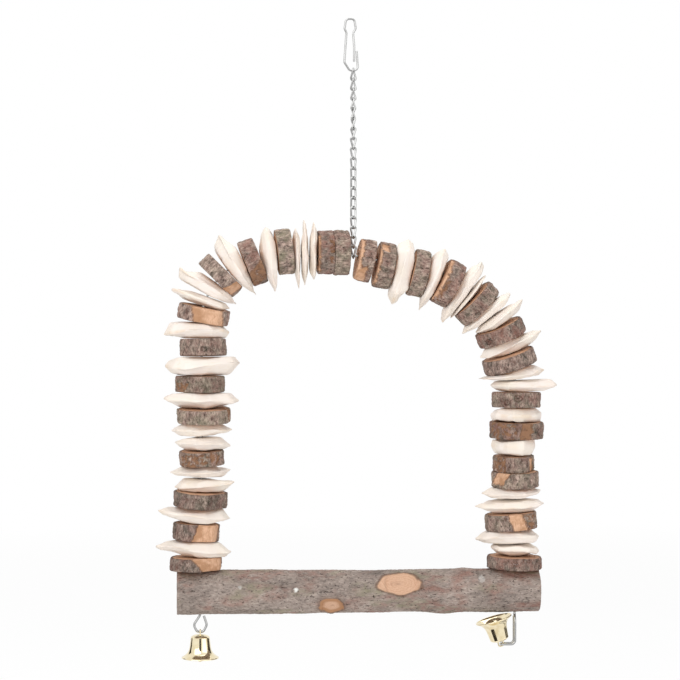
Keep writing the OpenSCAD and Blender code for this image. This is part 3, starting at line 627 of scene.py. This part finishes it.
def bark_slice(side, number):
    """One slice on the outline of its CAD solid, with its own bare patches and knots."""
    node = f"bark_disc_{side}_{number:02d}"
    joint = joint_named("spin_" + node)
    place = strung_place(Vector(joint["pos_m"]) / MM, Vector(joint["axis"]))
    back = place.inverted()
    rim = [back @ (v.co / MM) for v in frame["nodes"][node].data.vertices]
    half = max(p.z for p in rim)
    rim = [p for p in rim if p.z > 0 and math.hypot(p.x, p.y) > BORE]
    middle = Vector([(max(line) + min(line)) / 2 for line in zip(*(p.xy for p in rim))])
    radii = rim_radii(rim, middle)
    tone, red, green, patches, knots = SLICE_LOOKS[side][number - 1]
    seed = number * 13.7 + (400 if side == "right" else 0)
    points = []
    fields = {label: [] for label in ("grain", "cut", "stain_and_shade", "amber", "tone")}

    def rough(way, along, fineness, drawn_out, shift=0):
        return noisy(way.x * fineness + seed, way.y * fineness, along * drawn_out + shift)

    def add_ring(level, share, depth, wear):
        """Points round the side at a level, or round a face, in from its edge by a depth in
        millimetres or by a share of the way to the drilled hole."""
        on_face = abs(level) == 1
        along = level * half
        for k, r in enumerate(radii):
            angle = math.tau * k / SLICE_SIDES
            way = Vector((math.cos(angle), math.sin(angle)))
            wobble = rough(way, along, 2.3, 0.35)
            ragged = rough(way, along, 6.1, 0.45, 9)
            gone, deep = bare_wood(patches, math.degrees(angle), level, wobble, ragged)
            eye, pupil = 0.0, 0.0
            for knot_angle, knot_level, size in knots:
                off = math.radians(degrees_past(math.degrees(angle), knot_angle)) * r
                e = math.hypot(off, (level - knot_level) * half * 1.2) / size + 0.2 * ragged
                eye = max(eye, hump(e, 1, 0.28))
                pupil = max(pupil, hump(e, 0, 0.4))
            crack = 1 - min(1.0, abs(rough(way, along, 7.5, 0.13)) * 7)
            lump = noisy(way.x * 3.2, way.y * 3.2 + seed, along * 0.22)
            fine = rough(way, along, 17, 0.9)
            worn = wear * max(0.3, 1 + 0.8 * rough(way, level, 4, 2))
            r += ((LUMP_H * lump - CRACK_DEEP * crack + FINE_H * fine) * (1 - gone)
                  + (0.12 * lump - BARE_DEEP) * gone + EYE_H * eye - PUPIL_DEEP * pupil - worn)
            flat = (middle + way * (r - depth)).lerp(way * BORE / 2, share)
            lift = FACE_LIFT * abs(1 - noisy(flat.x * 0.08 + seed, flat.y * 0.08, 5)) * on_face
            points.append(place @ Vector((flat.x, flat.y, along + level * lift)))
            fields["grain"].append(Vector((*(flat - middle), along * 1.5 + seed)))
            sawn = 1.0 if share else ease(depth - 0.35 * wobble, 0.8, 1.15)
            fields["cut"].append(max(gone, sawn * on_face))
            under_bark = 0.55 * hump(depth, BARK_THICK, 0.25) * (on_face and share == 0)
            # Darker brown: a real stain on the line under the bark, darker along the edges of
            # the bare patches, and darker inside the drilled hole.
            fields["stain_and_shade"].append(min(1.0, under_bark + 3.4 * gone * (1 - gone)
                                       + 0.5 * (share == 1)))
            fields["amber"].append(0.12 if on_face else deep)
            fields["tone"].append(tone - 1.6 * (eye + pupil))

    face = [(0, depth) for depth in FACE_DEPTHS] + [(share, 0) for share in BORE_SHARES]
    rings = ([(-1, share, depth, FACE_WEAR) for share, depth in reversed(face)]
             + [(level, 0, 0, SIDE_WEAR if abs(level) > 0.8 else 0.0)
                for level in (-1 + 2 * k / SLICE_STEPS for k in range(1, SLICE_STEPS))]
             + [(1, share, depth, FACE_WEAR) for share, depth in face])
    for ring in rings:
        add_ring(*ring)
    for label, value in (("red", red), ("green", green), ("lichen", 0.0)):
        fields[label] = [value] * len(points)
    mesh = build_mesh(node, points, grid_faces(len(rings), SLICE_SIDES, closed_rings=True),
                      fields, slice_finish)
    show(f"bark_slice_{side}_{number:02d}", mesh, node, node)


for side in ("left", "right"):
    for number in range(1, 14):
        bark_slice(side, number)

# Pale chips
# Offcuts of peeled soft wood, carved with a knife to a flat heart, bevelled sides and two
# pointed ends. They are smooth and nearly white, with tan in patches along the rim and
# towards the pointed ends.
CHIP_SPOKES = 120
CHIP_SHARES = (0, 0.12, 0.24, 0.34, 0.43, 0.51, 0.58, 0.65, 0.71, 0.77, 0.82, 0.87, 0.91, 0.95,
               0.98)
KNIFE_CUTS = 5
FURTHEST_TIP = 45
SEARCH_STEP = 1.5
SEARCH_HALVINGS = 7
HOLE_GAP = 0.06
FACE_GAP = 0.07
FACE_ROOM = 0.05
RIM_ROOM = 0.35
RIM_GROWTH = (0.192, 0.32)


def chip_material():
    material, tree, shader = open_material("peeled_pale_wood")
    grain = read_field(tree, "grain", "Vector")
    strands = add_node(tree, "ShaderNodeMapping", {"Vector": grain, "Scale": (0.06, 0.5, 0.9)})
    lines = cloud(tree, strands.outputs["Vector"], 1.6, 6.0)
    colour = blend(tree, (0.85, 0.765, 0.705), (0.85, 0.775, 0.685),
                   span(tree, cloud(tree, grain, 0.07, 2.0), 0.35, 0.65))
    colour = blend(tree, colour, (0.78, 0.64, 0.48), span(tree, lines, 0.54, 0.74, 0.0, 0.45))
    # Tan in patches along the rim and towards the pointed ends.
    colour = blend(tree, colour, (0.72, 0.52, 0.33), read_field(tree, "edge"))
    fill(tree, shader, {"Base Color": colour, "Specular IOR Level": 0.3,
                        "Roughness": span(tree, lines, 0.3, 0.7, 0.62, 0.5),
                        "Normal": bump(tree, lines, 0.35, 0.0004)})
    return material


def loose_shells(mesh):
    """The points of a CAD mesh, merged, and the triangles of each of its loose shells."""
    index = {}
    spots = [index.setdefault(tuple(round(c / MM, 3) for c in vertex.co), len(index))
             for vertex in mesh.vertices]
    parent = list(range(len(index)))

    def root(i):
        while parent[i] != i:
            parent[i] = parent[parent[i]]
            i = parent[i]
        return i

    triangles = [[spots[i] for i in polygon.vertices] for polygon in mesh.polygons]
    for triangle in triangles:
        for other in triangle[1:]:
            parent[root(other)] = root(triangle[0])
    shells = {}
    for triangle in triangles:
        if len(set(triangle)) == 3:
            shells.setdefault(root(triangle[0]), []).append(triangle)
    return [Vector(spot) for spot in index], list(shells.values())


def face_heights(solid, spot):
    """Where a line along the wire enters and leaves a solid chip, or None beside it."""
    low = solid.ray_cast(Vector((*spot, -60)), Vector((0, 0, 1)))[0]
    high = solid.ray_cast(Vector((*spot, 60)), Vector((0, 0, -1)))[0]
    return (low.z, high.z) if low and high else None


def chip_skins(solid):
    """Rows of points from the hole to the rim on the low and on the high face of a chip, and
    the length of each spoke."""
    reach, lines = [], []
    for k in range(CHIP_SPOKES):
        angle = math.tau * k / CHIP_SPOKES
        way = Vector((math.cos(angle), math.sin(angle)))
        near, far = BORE, BORE
        while far < FURTHEST_TIP and face_heights(solid, way * far):
            near, far = far, far + SEARCH_STEP
        for _ in range(SEARCH_HALVINGS):
            middle = (near + far) / 2
            if face_heights(solid, way * middle):
                near = middle
            else:
                far = middle
        reach.append(near)
        line = []
        found = face_heights(solid, way * BORE)
        for share in CHIP_SHARES:
            spot = way * (BORE / 2 + HOLE_GAP + (near - BORE / 2 - 0.1) * share)
            found = face_heights(solid, spot) or face_heights(solid, spot * 0.985) or found
            line.append([Vector((*spot, z)) for z in found])
        lines.append(line)
    skins = [[[line[j][face] for line in lines] for j in range(len(CHIP_SHARES))]
             for face in (0, 1)]
    return skins, reach


def face_plane(skin):
    """A point and the normal of the flat face that touches the next piece. The point is one
    of the skin's own, so the plane sinks a little with it as the skin is carved."""
    a, b, c = (skin[1][k] for k in (0, CHIP_SPOKES // 3, 2 * CHIP_SPOKES // 3))
    return a, (b - a).cross(c - a).normalized()


def keep_inside(p, plane, solid_z, room, sign):
    """Holds a point a hair inside the flat that touches the next piece, and near the solid."""
    spot, normal = plane
    level = spot.z - ((p.x - spot.x) * normal.x + (p.y - spot.y) * normal.y) / normal.z
    p.z = sign * min(sign * p.z, sign * level - FACE_GAP, sign * solid_z + room)


def knife_cut(skin, sign, centres, reach, thick, chance):
    """One slanting cut over a face. It leaves a fifth of the thickness on the face's side of
    the chip's middle."""
    toward = chance.choice((90, -90)) + chance.uniform(-75, 75)
    way = Vector((math.cos(math.radians(toward)), math.sin(math.radians(toward))))
    start = chance.uniform(0.3, 0.62) * reach[round(toward / 360 * CHIP_SPOKES) % CHIP_SPOKES]
    slope = chance.uniform(0.16, 0.4)
    for row, row_centres in zip(skin, centres):
        for p, centre in zip(row, row_centres):
            left = thick / 2 - slope * (p.x * way.x + p.y * way.y - start)
            left = max(left, 0.2 * thick)
            if sign * (p.z - centre) > left:
                p.z = centre + sign * left


def pale_chip(corners, shell, seed, points, faces, fields):
    """One chip, carved within a hair of its CAD solid."""
    used = {i for triangle in shell for i in triangle}
    middle = sum((corners[i] for i in used), Vector()) / len(used)
    place = strung_place(*min(route_line, key=lambda spot: (spot[0] - middle).length))
    back = place.inverted()
    skins, reach = chip_skins(BVHTree.FromPolygons([back @ p for p in corners], shell))
    planes = [face_plane(skin) for skin in skins]
    solid_z = [[[p.z for p in row] for row in skin] for skin in skins]
    centres = [[(a + b) / 2 for a, b in zip(*rows)] for rows in zip(*solid_z)]
    thick = solid_z[1][2][0] - solid_z[0][2][0]
    chance = random.Random(seed)
    wear = chance.random()
    sway, phase = (0.04 + 0.08 * wear) * thick, chance.uniform(0, math.tau)
    last = len(CHIP_SHARES) - 1
    for skin, kept, sign in zip(skins, solid_z, (-1, 1)):
        for j in range(1, last):
            for k in range(CHIP_SPOKES):
                after = (k + 1) % CHIP_SPOKES
                mean = (kept[j - 1][k] + kept[j + 1][k] + kept[j][k - 1] + kept[j][after]) / 4
                even = abs(reach[k - 1] - reach[after]) < 1.2
                skin[j][k].z += (mean - skin[j][k].z) * (0.5 if even else 0.1)
        for _ in range(KNIFE_CUTS):
            knife_cut(skin, sign, centres, reach, thick, chance)
    tips = []
    for k in range(CHIP_SPOKES):
        tip = (skins[0][last][k] + skins[1][last][k]) / 2
        tips.append(tip + Vector((tip.x, tip.y, 0)).normalized() * 0.25
                    + Vector((0, 0, sway * math.sin(tip.x * 0.11 + phase))))
        carve = 0.35 * noisy(tip.x * 0.07 + seed, tip.y * 0.07, 2)
        for skin, sign in zip(skins, (-1, 1)):
            for row, share in zip(skin, CHIP_SHARES):
                p = row[k]
                dip = noisy(p.x * 0.09 + seed, p.y * 0.12, sign * 9)
                bend = sway * ease(share, 0.55, 1) * math.sin(p.x * 0.11 + phase)
                p.z += sign * (0.32 * share * dip - 0.1) + carve * share + bend
    for k in range(CHIP_SPOKES):
        for j in range(last + 1):
            grow = RIM_GROWTH[j - last + 1] if j >= last - 1 else 0
            for skin, plane, kept, sign in zip(skins, planes, solid_z, (-1, 1)):
                skin[j][k].z += sign * grow
                keep_inside(skin[j][k], plane, kept[j][k], RIM_ROOM if grow else FACE_ROOM, sign)
    rows = skins[0] + [tips] + skins[1][::-1]
    faces.extend(grid_faces(len(rows), CHIP_SPOKES, len(points), closed_rings=True))
    for j, row in enumerate(rows):
        # A tan band along the rim, broken into patches, and a little tan towards the pointed
        # ends.
        rim = (0.15 + 0.4 * wear) * {0: 0.9, 1: 0.55}.get(abs(j - last - 1), 0)
        for p in row:
            points.append(place @ p)
            fields["grain"].append(p + Vector((seed * 31, seed * 17, seed * 5)))
            patchy = ease(noisy(p.x * 0.1 + seed, p.y * 0.1, 4), -0.1, 0.4)
            fields["edge"].append(min(1.0, rim * patchy + 0.12 * ease(abs(p.x), 14, 24)))


chip_finish = chip_material()
for node in ("pale_chips_left_leg", "pale_chips_left_shoulder", "pale_chips_right_shoulder",
             "pale_chips_right_leg"):
    points, faces, fields = [], [], {"grain": [], "edge": []}
    corners, shells = loose_shells(frame["nodes"][node].data)
    for order, shell in enumerate(shells):
        pale_chip(corners, shell, order + 11 * len(node), points, faces, fields)
    show(node + "_carved", build_mesh(node, points, faces, fields, chip_finish),
         "arch", node)

# Perch
# A length of natural branch with its bark on, drilled upright at both ends for the wire.
# Two side branches were sawn off flush and left orange ovals. Its ends are sawn square.
PERCH_SIDES = 168
PERCH_STATIONS = 330
END_INSET = 0.25
HOLE_REACH = BORE * 0.7
END_SHARES = (0.0, 0.08, 0.16, 0.25, 0.35, 0.45, 0.55, 0.65, 0.75, 0.85, 0.9, 0.94, 0.985)
# The two knots: middle along X, middle angle over the front, half sizes.
KNOTS = [(29.2, 29, 12.2, 7.6), (-12.2, -38, 7.6, 6.2)]
# Lichen: place along X, height over the perch's middle, size and strength.
LICHEN = [(-33.7, 2.7, 1.0, 1.0), (-67.1, 4.4, 0.9, 0.35), (79.0, 8.6, 1.6, 0.3)]
# Swellings of the log: middle along X, middle angle, half length and height.
SWELLINGS = [(69, 84, 5, 0.9), (56, -88, 8, 0.9), (-30, -80, 9, 0.4), (-52, 88, 10, 0.4)]
# Rings in the bark round old buds: middle along X, middle angle, radius.
BARK_RINGS = [(105.3, -26, 2.0), (-5, 62, 1.6), (48, -62, 1.8)]
# Drying splits in the sawn ends, drawn only as dark lines of painted shade: angle, and the
# shares of the radius that they run between.
SPLITS = [(0.7, 0.0, 0.55), (2.9, 0.05, 0.4), (4.6, 0.0, 0.7)]
perch_finish = branch_finish(
    "perch_bark_and_wood", scale=1.5, mottle=0.24, pits=0.95, ring_spacing=1.5, relief=0.0006,
    early=(0.66, 0.43, 0.30), late=(0.50, 0.275, 0.165), light=(0.375, 0.312, 0.272),
    dark=(0.215, 0.17, 0.148))
perch_left, perch_right = ((corner / MM).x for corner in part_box("perch"))
perch_cad = frame["nodes"]["perch"].data
perch_solid = BVHTree.FromPolygons([v.co / MM for v in perch_cad.vertices],
                                   [tuple(p.vertices) for p in perch_cad.polygons])
perch_points = []
perch_fields = {label: [] for label in ("grain", "cut", "stain_and_shade", "lichen", "red", "green",
                                        "tone", "amber")}


def log_radius(x, way):
    """The radius of the CAD log in one direction, with its two drilled holes filled."""
    x = min(max(x, perch_left + END_INSET * 1.2), perch_right - END_INSET * 1.2)
    heart = Vector((x, 0, perch_z))
    hit = perch_solid.ray_cast(heart + way * PERCH_D * 1.5, -way)[0]
    r = (hit - heart).dot(way) if hit else PERCH_D / 2
    if min(math.hypot(x - leg, way.y * PERCH_D / 2) for leg in legs) < HOLE_REACH:
        return max(r, PERCH_D / 2)
    return r if r >= PERCH_D * 0.42 else PERCH_D * 0.45


def knot_marks(x, arc):
    """The sawn knots at a spot: how bare the wood is, how near their rim and their pith are."""
    bare, rim, pith = 0.0, 0.0, 0.0
    for knot_x, knot_arc, half_x, half_arc in KNOTS:
        small = half_x < 10
        u = (x - knot_x) / half_x
        v = math.radians(arc - knot_arc) * PERCH_D / 2 / half_arc
        lean = math.atan2(v, u)
        e = math.hypot(u, v) * (1 + 0.05 * math.sin(2 * lean + knot_x)
                                + 0.04 * math.sin(5 * lean)
                                + 0.10 * noisy(u * 1.3 + knot_x, v * 1.3, 3))
        bare = max(bare, ease(1.03 - e, 0, 0.06))
        rim = max(rim, hump(e, 0.92, 0.3) if small else hump(e, 1.05, 0.07))
        heart_u = u - (0.1 if small else -0.08)
        core = math.hypot(heart_u, v * 1.6)
        half_ring = hump(core, 0.33, 0.07) * ease(v - heart_u, -0.3, 0.3)
        pith = max(pith, hump(core, 0, 0.16), 0 if small else 0.7 * half_ring)
    return bare, rim, pith


def knot_grain(x, arc):
    """Where a spot lies in the rings of the nearest knot."""
    knot_x, knot_arc, half_x, half_arc = min(KNOTS, key=lambda knot: abs(knot[0] - x))
    off = math.radians(arc - knot_arc) * PERCH_D / 2
    return Vector(((x - knot_x + 1) * half_arc / half_x + 1.2 * noisy(x * 0.2, off * 0.2, 1),
                   off + 1.2 * noisy(x * 0.2, off * 0.2, 8), 3))


def log_noise(x, way, drawn_out, fineness, shift=0):
    return noisy(x * drawn_out, way.y * fineness, way.z * fineness + shift)


def perch_ring(x, share, on_end):
    """Points round the log, or on a sawn end at a share of its radius."""
    for k in range(PERCH_SIDES):
        angle = math.tau * k / PERCH_SIDES
        way = Vector((0, -math.cos(angle), math.sin(angle)))
        arc = math.degrees(math.atan2(way.z, -way.y))
        r = log_radius(x, way)
        hole = max(ease(BORE / 2 + 0.5 - math.hypot(x - leg, way.y * r), 0, 0.7) for leg in legs)
        bare, rim, pith = knot_marks(x, arc)
        for swell_x, swell_arc, length, height in SWELLINGS:
            r += height * hump(x, swell_x, length) * hump(degrees_past(arc, swell_arc), 0, 28)
        eye = 0.0
        for eye_x, eye_arc, size in BARK_RINGS:
            off = math.radians(degrees_past(arc, eye_arc)) * PERCH_D / 2
            e = math.hypot(x - eye_x, off) / size
            eye = max(eye, hump(e, 1, 0.25), 0.8 * hump(e, 0, 0.35))
        crack = 1 - min(1.0, abs(log_noise(x, way, 0.099, 6.3)) * 6.5)
        lump = log_noise(x, way, 0.05, 1.1, 7)
        fine = log_noise(x, way, 0.55, 9)
        bark = 0.30 * lump - 0.38 * crack + 0.20 * fine + 0.35 * rim
        r += bark * (1 - bare) - 0.15 * bare - 2.6 * hole
        rough = 0.15 * noisy(way.y * share * 3, way.z * share * 3, x) if on_end else 0
        flat = way * (r * share)
        perch_points.append(flat + Vector((x + rough, 0, perch_z)))
        # The splits are thin dark lines on the flat end, painted shade of their gaps.
        split = 0.0
        for split_angle, split_from, split_to in SPLITS:
            if on_end and split_from <= share <= split_to:
                swing = 0.12 * noisy(share * 3, split_angle, x)
                off = abs((angle - split_angle - swing + math.pi) % math.tau - math.pi) * share
                split = max(split, 1 - min(1.0, off / 0.02))
        lichen = 0.0
        for spot_x, spot_z, size, strength in LICHEN:
            if way.y < 0:
                off = math.hypot(x - spot_x, way.z * PERCH_D / 2 - spot_z)
                lichen = max(lichen, strength * ease(size * 1.4 + 0.6 * fine - off, 0, 0.5))
        heart = 0.45 * (1 - ease(share, 0.1, 0.55)) if on_end else 0.1
        under_bark = 0.6 if on_end and 0.9 < share < 0.97 else 0
        # The dark brown field here: painted shade along the splits in the sawn ends, darker
        # round and inside the drilled holes, and real stain at the knot rims and piths and under
        # the bark.
        for label, value in (
                ("grain", knot_grain(x, arc) if bare > 0.5 else Vector((flat.y, flat.z, x))),
                ("cut", 1.0 if on_end and share < 0.93 else bare),
                ("amber", 0.9 * ease(rim, 0.05, 0.7) + heart),
                ("stain_and_shade", min(1.0, 0.6 * rim * (1 - bare) + 0.9 * hole + 0.35 * pith
                              + 0.8 * split + under_bark)),
                ("lichen", lichen),
                ("red", 0.75 * ease(log_noise(x, way, 0.03, 1, 20), -0.2, 0.35)),
                ("green", 0.8 * ease(log_noise(x, way, 0.025, 1, -20), -0.1, 0.4)),
                ("tone", 0.5 + 0.5 * log_noise(x, way, 0.04, 0.8, 40) - 0.7 * eye)):
            perch_fields[label].append(value)


for share in END_SHARES:
    perch_ring(perch_left, share, True)
for i in range(PERCH_STATIONS):
    length = perch_right - perch_left - 2 * END_INSET
    perch_ring(perch_left + END_INSET + length * i / (PERCH_STATIONS - 1), 1.0, False)
for share in reversed(END_SHARES):
    perch_ring(perch_right, share, True)
perch_faces = grid_faces(PERCH_STATIONS + 2 * len(END_SHARES), PERCH_SIDES)
show("branch_perch", build_mesh("perch", perch_points, perch_faces, perch_fields, perch_finish),
     "arch", "perch")

# Bells
# Each is a spun cup of thin polished brass. A wire staple goes through two holes in its
# crown, holds it on the arch's end loop, and carries the clapper on its inner bar.
BELL_D = 22.6
BELL_H = 14.0
BELL_WALL = 0.6
BELL_SIDES = 96
STAPLE_WIRE = 0.9
EYE_WIRE = STAPLE_WIRE * 0.65
EYE_POINTS = 20
EYE_PLAY = 0.15
CLAPPER_D = 3.4
CLAPPER_SIDES = 32
BALL_STEPS = 16
RIGHT_TIP = 163.5
CLAPPER_LEAN = 29
# The cup's outline from its crown to its lip, as shares of its radius and of its height.
CUP_SHARES = [(0, 0), (0.24, 0.02), (0.42, 0.07), (0.5, 0.13), (0.51, 0.16), (0.545, 0.4),
              (0.585, 0.62), (0.64, 0.74), (0.74, 0.85), (0.88, 0.94), (1, 1)]
crown_z = -ARCH_WIRE / 2 - WIRE_PLAY * 1.7
mouth_z = crown_z - BELL_H
staple_half = (ARCH_WIRE + STAPLE_WIRE) / 2 + WIRE_PLAY
staple_top = (ARCH_WIRE + STAPLE_WIRE) / 2 + EYE_PLAY
bar_z = crown_z - BELL_WALL - STAPLE_WIRE / 2 - EYE_WIRE - 0.5
eye_r = (STAPLE_WIRE + EYE_WIRE) / 2 + EYE_PLAY
ball_r = CLAPPER_D / 2
ball_z = mouth_z - CLAPPER_D * 0.35
brass = metal_finish("polished_brass", bright=(0.90, 0.80, 0.57), dull=(0.75, 0.62, 0.38),
                     rest=0.06, smear=0.12, scale=260.0)


def rounded(line, steps):
    """A smooth curve through points, by the rule of Catmull and Rom."""
    spots = [Vector(spot) for spot in (line[0], *line, line[-1])]
    curve = []
    for a, b, c, d in zip(spots, spots[1:], spots[2:], spots[3:]):
        for k in range(steps):
            t = k / steps
            curve.append(0.5 * (2 * b + (c - a) * t + (2 * a - 5 * b + 4 * c - d) * t * t
                                + (3 * b - a - 3 * c + d) * t ** 3))
    return curve + spots[-1:]


def spun(profile, sides, place, inside_out=False):
    """Turns (radius, height) pairs about Z. Points on the axis close the shape."""
    points, rings, faces = [], [], []
    for r, z in profile:
        count = sides if r else 1
        rings.append([len(points) + k % count for k in range(sides)])
        for k in range(count):
            a = math.tau * k / sides
            points.append(place @ Vector((r * math.cos(a), r * math.sin(a), z)))
    for low_ring, high_ring in zip(rings, rings[1:]):
        for k in range(sides):
            n = (k + 1) % sides
            face = tuple(dict.fromkeys((low_ring[k], low_ring[n], high_ring[n], high_ring[k])))
            faces.append(face[::-1] if inside_out else face)
    return points, faces


def brass_bell(side, place, lean):
    """One bell on its loop: cup, staple, and clapper with its eye round the staple's bar."""
    cup = build_mesh(side + "_cup", *spun(cup_profile, BELL_SIDES, place, inside_out=True), {},
                     brass)
    show(side + "_brass_cup", cup, side + "_bell", side + "_bell_cup")
    corners = [place @ Vector((0, y, z)) for y, z in (
        (staple_half, staple_top), (-staple_half, staple_top), (-staple_half, bar_z),
        (staple_half, bar_z))]
    staple = wire_mesh(side + "_staple", corners, [STAPLE_WIRE] * 4, STAPLE_WIRE, brass,
                       closed=True)
    show(side + "_brass_staple", staple, side + "_bell", side + "_bell_staple")
    hang = place @ lean
    turns = [math.tau * k / EYE_POINTS for k in range(EYE_POINTS)]
    eye = wire_mesh(side + "_eye",
                    [hang @ Vector((eye_r * math.cos(a), 0, bar_z + eye_r * math.sin(a)))
                     for a in turns],
                    [0] * EYE_POINTS, EYE_WIRE, brass, closed=True, points=1)
    points, faces = spun(clapper_profile, CLAPPER_SIDES, hang)
    faces += [tuple(i + len(points) for i in p.vertices) for p in eye.polygons]
    points += [v.co / MM for v in eye.vertices]
    show(side + "_brass_clapper", build_mesh(side + "_clapper", points, faces, {}, brass),
         side + "_clapper", side + "_bell_clapper")


outer = [(p.x * BELL_D / 2, crown_z - p.y * BELL_H) for p in rounded(CUP_SHARES, 5)]
lip = [(BELL_D / 2 - 0.3 + BELL_WALL / 2 * math.sin(a),
        mouth_z - BELL_WALL / 2 * (1 + math.cos(a)))
       for a in (2.4, 1.9, 1.4, 0.9, 0.4, 0.0, -0.5, -1.0, -1.4)]
inner = [(max(0.0, r - BELL_WALL * 0.9), min(z, crown_z - BELL_WALL) - (0.1 if r > 6 else 0))
         for r, z in reversed(outer[3:-3])] + [(0.0, crown_z - BELL_WALL)]
cup_profile = [(max(0.0, r), z) for r, z in outer[:-1]] + lip + inner
clapper_profile = ([(ball_r * math.sin(math.pi * k / BALL_STEPS),
                     ball_z - ball_r * math.cos(math.pi * k / BALL_STEPS))
                    for k in range(BALL_STEPS)]
                   + [(EYE_WIRE / 2, ball_z + ball_r * 0.9), (EYE_WIRE / 2, bar_z - eye_r),
                      (0.0, bar_z - eye_r + 0.05)])
brass_bell("left", Matrix.Translation(left_pivot), Matrix.Identity(4))
brass_bell("right",
           Matrix.Translation(right_pivot) @ Matrix.Rotation(math.radians(RIGHT_TIP), 4, "Y")
           @ Matrix.Rotation(math.radians(90), 4, "Z"),
           Matrix.Translation((0, 0, bar_z))
           @ Matrix.Rotation(math.radians(CLAPPER_LEAN), 4, "Y")
           @ Matrix.Translation((0, 0, -bar_z)))

# Studio
# A plain pale floor below the hanging swing, soft lamps, dark cards for the metal to
# reflect, and a camera that looks at it level from the front. Its sizes are in metres.
FLOOR_Z = -0.452
FLOOR_HALF = 3
CARD_LOW = -0.75
CARDS_FACE_X = 0.1
SENSOR = 36.0
LENS = 104.8
YAW = math.radians(-2.6)
CAMERA_AT = Vector((-0.0945, -1.2, -0.19))
AIM = Vector((-0.0062, 0.0, -0.1945))
WHITE = (1.0, 1.0, 1.0, 1.0)
scene = bpy.context.scene
scene.view_settings.view_transform = "Standard"


def white_to_the_eye(tree, plain, white, output):
    """Shows white to the camera and in reflections, and the plain shader to all else."""
    path = add_node(tree, "ShaderNodeLightPath").outputs
    seen = calc(tree, "MAXIMUM", path["Is Camera Ray"],
                calc(tree, "MAXIMUM", path["Is Glossy Ray"], path["Is Transmission Ray"]))
    mix = add_node(tree, "ShaderNodeMixShader", {0: seen, 1: plain.outputs[0],
                                                 2: white.outputs[0]})
    fill(tree, output, {"Surface": mix.outputs[0]})


def flat_card(name, corners, finish):
    mesh = bpy.data.meshes.new(name)
    mesh.from_pydata(corners, [], [(0, 1, 2, 3)])
    mesh.materials.append(finish)
    card = bpy.data.objects.new(name, mesh)
    scene.collection.objects.link(card)
    return card


world = bpy.data.worlds.new("studio")
world.use_nodes = True
scene.world = world
tree = world.node_tree
tree.nodes.clear()
white_to_the_eye(tree,
                 add_node(tree, "ShaderNodeBackground", {"Color": WHITE, "Strength": 0.56}),
                 add_node(tree, "ShaderNodeBackground", {"Color": WHITE, "Strength": 1.0}),
                 add_node(tree, "ShaderNodeOutputWorld"))

# The floor is grey below the swing and melts into the white further off.
floor_finish, tree, shader = open_material("pale_floor")
fill(tree, shader, {"Base Color": (0.93, 0.93, 0.93, 1.0), "Roughness": 0.9})
place = add_node(tree, "ShaderNodeTexCoord").outputs["Object"]
away = add_node(tree, "ShaderNodeVectorMath", {0: place, 1: (0.15, 0.45, FLOOR_Z)},
                operation="DISTANCE")
melt = add_node(tree, "ShaderNodeMixShader",
                {0: span(tree, away.outputs["Value"], 0.3, 1.1, 0.84, 1.0),
                 1: shader.outputs[0],
                 2: add_node(tree, "ShaderNodeEmission", {"Strength": 1.0}).outputs[0]})
white_to_the_eye(tree, shader, melt, tree.nodes["Material Output"])
flat_card("floor", [(x * FLOOR_HALF, y * FLOOR_HALF, FLOOR_Z)
                    for x, y in ((-1, -1), (1, -1), (1, 1), (-1, 1))], floor_finish)

for name, spot, size, power, aim_z in (
        ("key", (-0.75, -1.1, 0.55), 1.5, 13.4, -0.2),
        ("fill", (0.95, -0.9, 0.05), 1.3, 5.2, -0.22),
        ("top", (0.05, 0.25, 0.95), 1.2, 7.0, -0.2)):
    data = bpy.data.lights.new(name, "AREA")
    data.size = size
    data.energy = power
    lamp = bpy.data.objects.new(name, data)
    lamp.location = spot
    way = Vector((0, 0, aim_z)) - Vector(spot)
    lamp.rotation_euler = way.to_track_quat("-Z", "Y").to_euler()
    scene.collection.objects.link(lamp)

# Dark upright cards: two at the sides, one behind the camera, a smaller one nearer on the
# right and a narrow one low down between the bells. Only polished metal shows them. All are
# turned towards the right bell.
card_finish, tree, shader = open_material("dark_card")
fill(tree, shader, {"Base Color": (0.03, 0.022, 0.016, 1.0), "Roughness": 0.9})
for name, x, y, half, top in (
        ("card_left", -1.15, 0.62, 0.3, 0.35), ("card_right", 1.05, 0.62, 0.3, 0.35),
        ("card_back", -0.1, -1.65, 0.3, 0.35), ("card_near", 0.58, 0.1, 0.15, -0.2),
        ("card_low", 0.056, -0.033, 0.02, -0.4)):
    across = Vector((-y, x - CARDS_FACE_X, 0)).normalized() * half
    middle = Vector((x, y, 0))
    card = flat_card(name, [middle + across * sign + Vector((0, 0, z)) for sign, z in (
        (-1, CARD_LOW), (1, CARD_LOW), (1, top), (-1, top))], card_finish)
    card.visible_camera = card.visible_diffuse = card.visible_shadow = False
    card.visible_transmission = card.visible_volume_scatter = False

data = bpy.data.cameras.new("camera")
data.sensor_width = SENSOR
data.lens = LENS
camera = bpy.data.objects.new("camera", data)
scene.collection.objects.link(camera)
camera.location = CAMERA_AT
camera.rotation_euler = (math.radians(90), 0, YAW)
offset = Matrix.Rotation(-YAW, 3, "Z") @ (AIM - CAMERA_AT)
data.shift_x = offset.x / offset.y * LENS / SENSOR
data.shift_y = offset.z / offset.y * LENS / SENSOR
scene.camera = camera
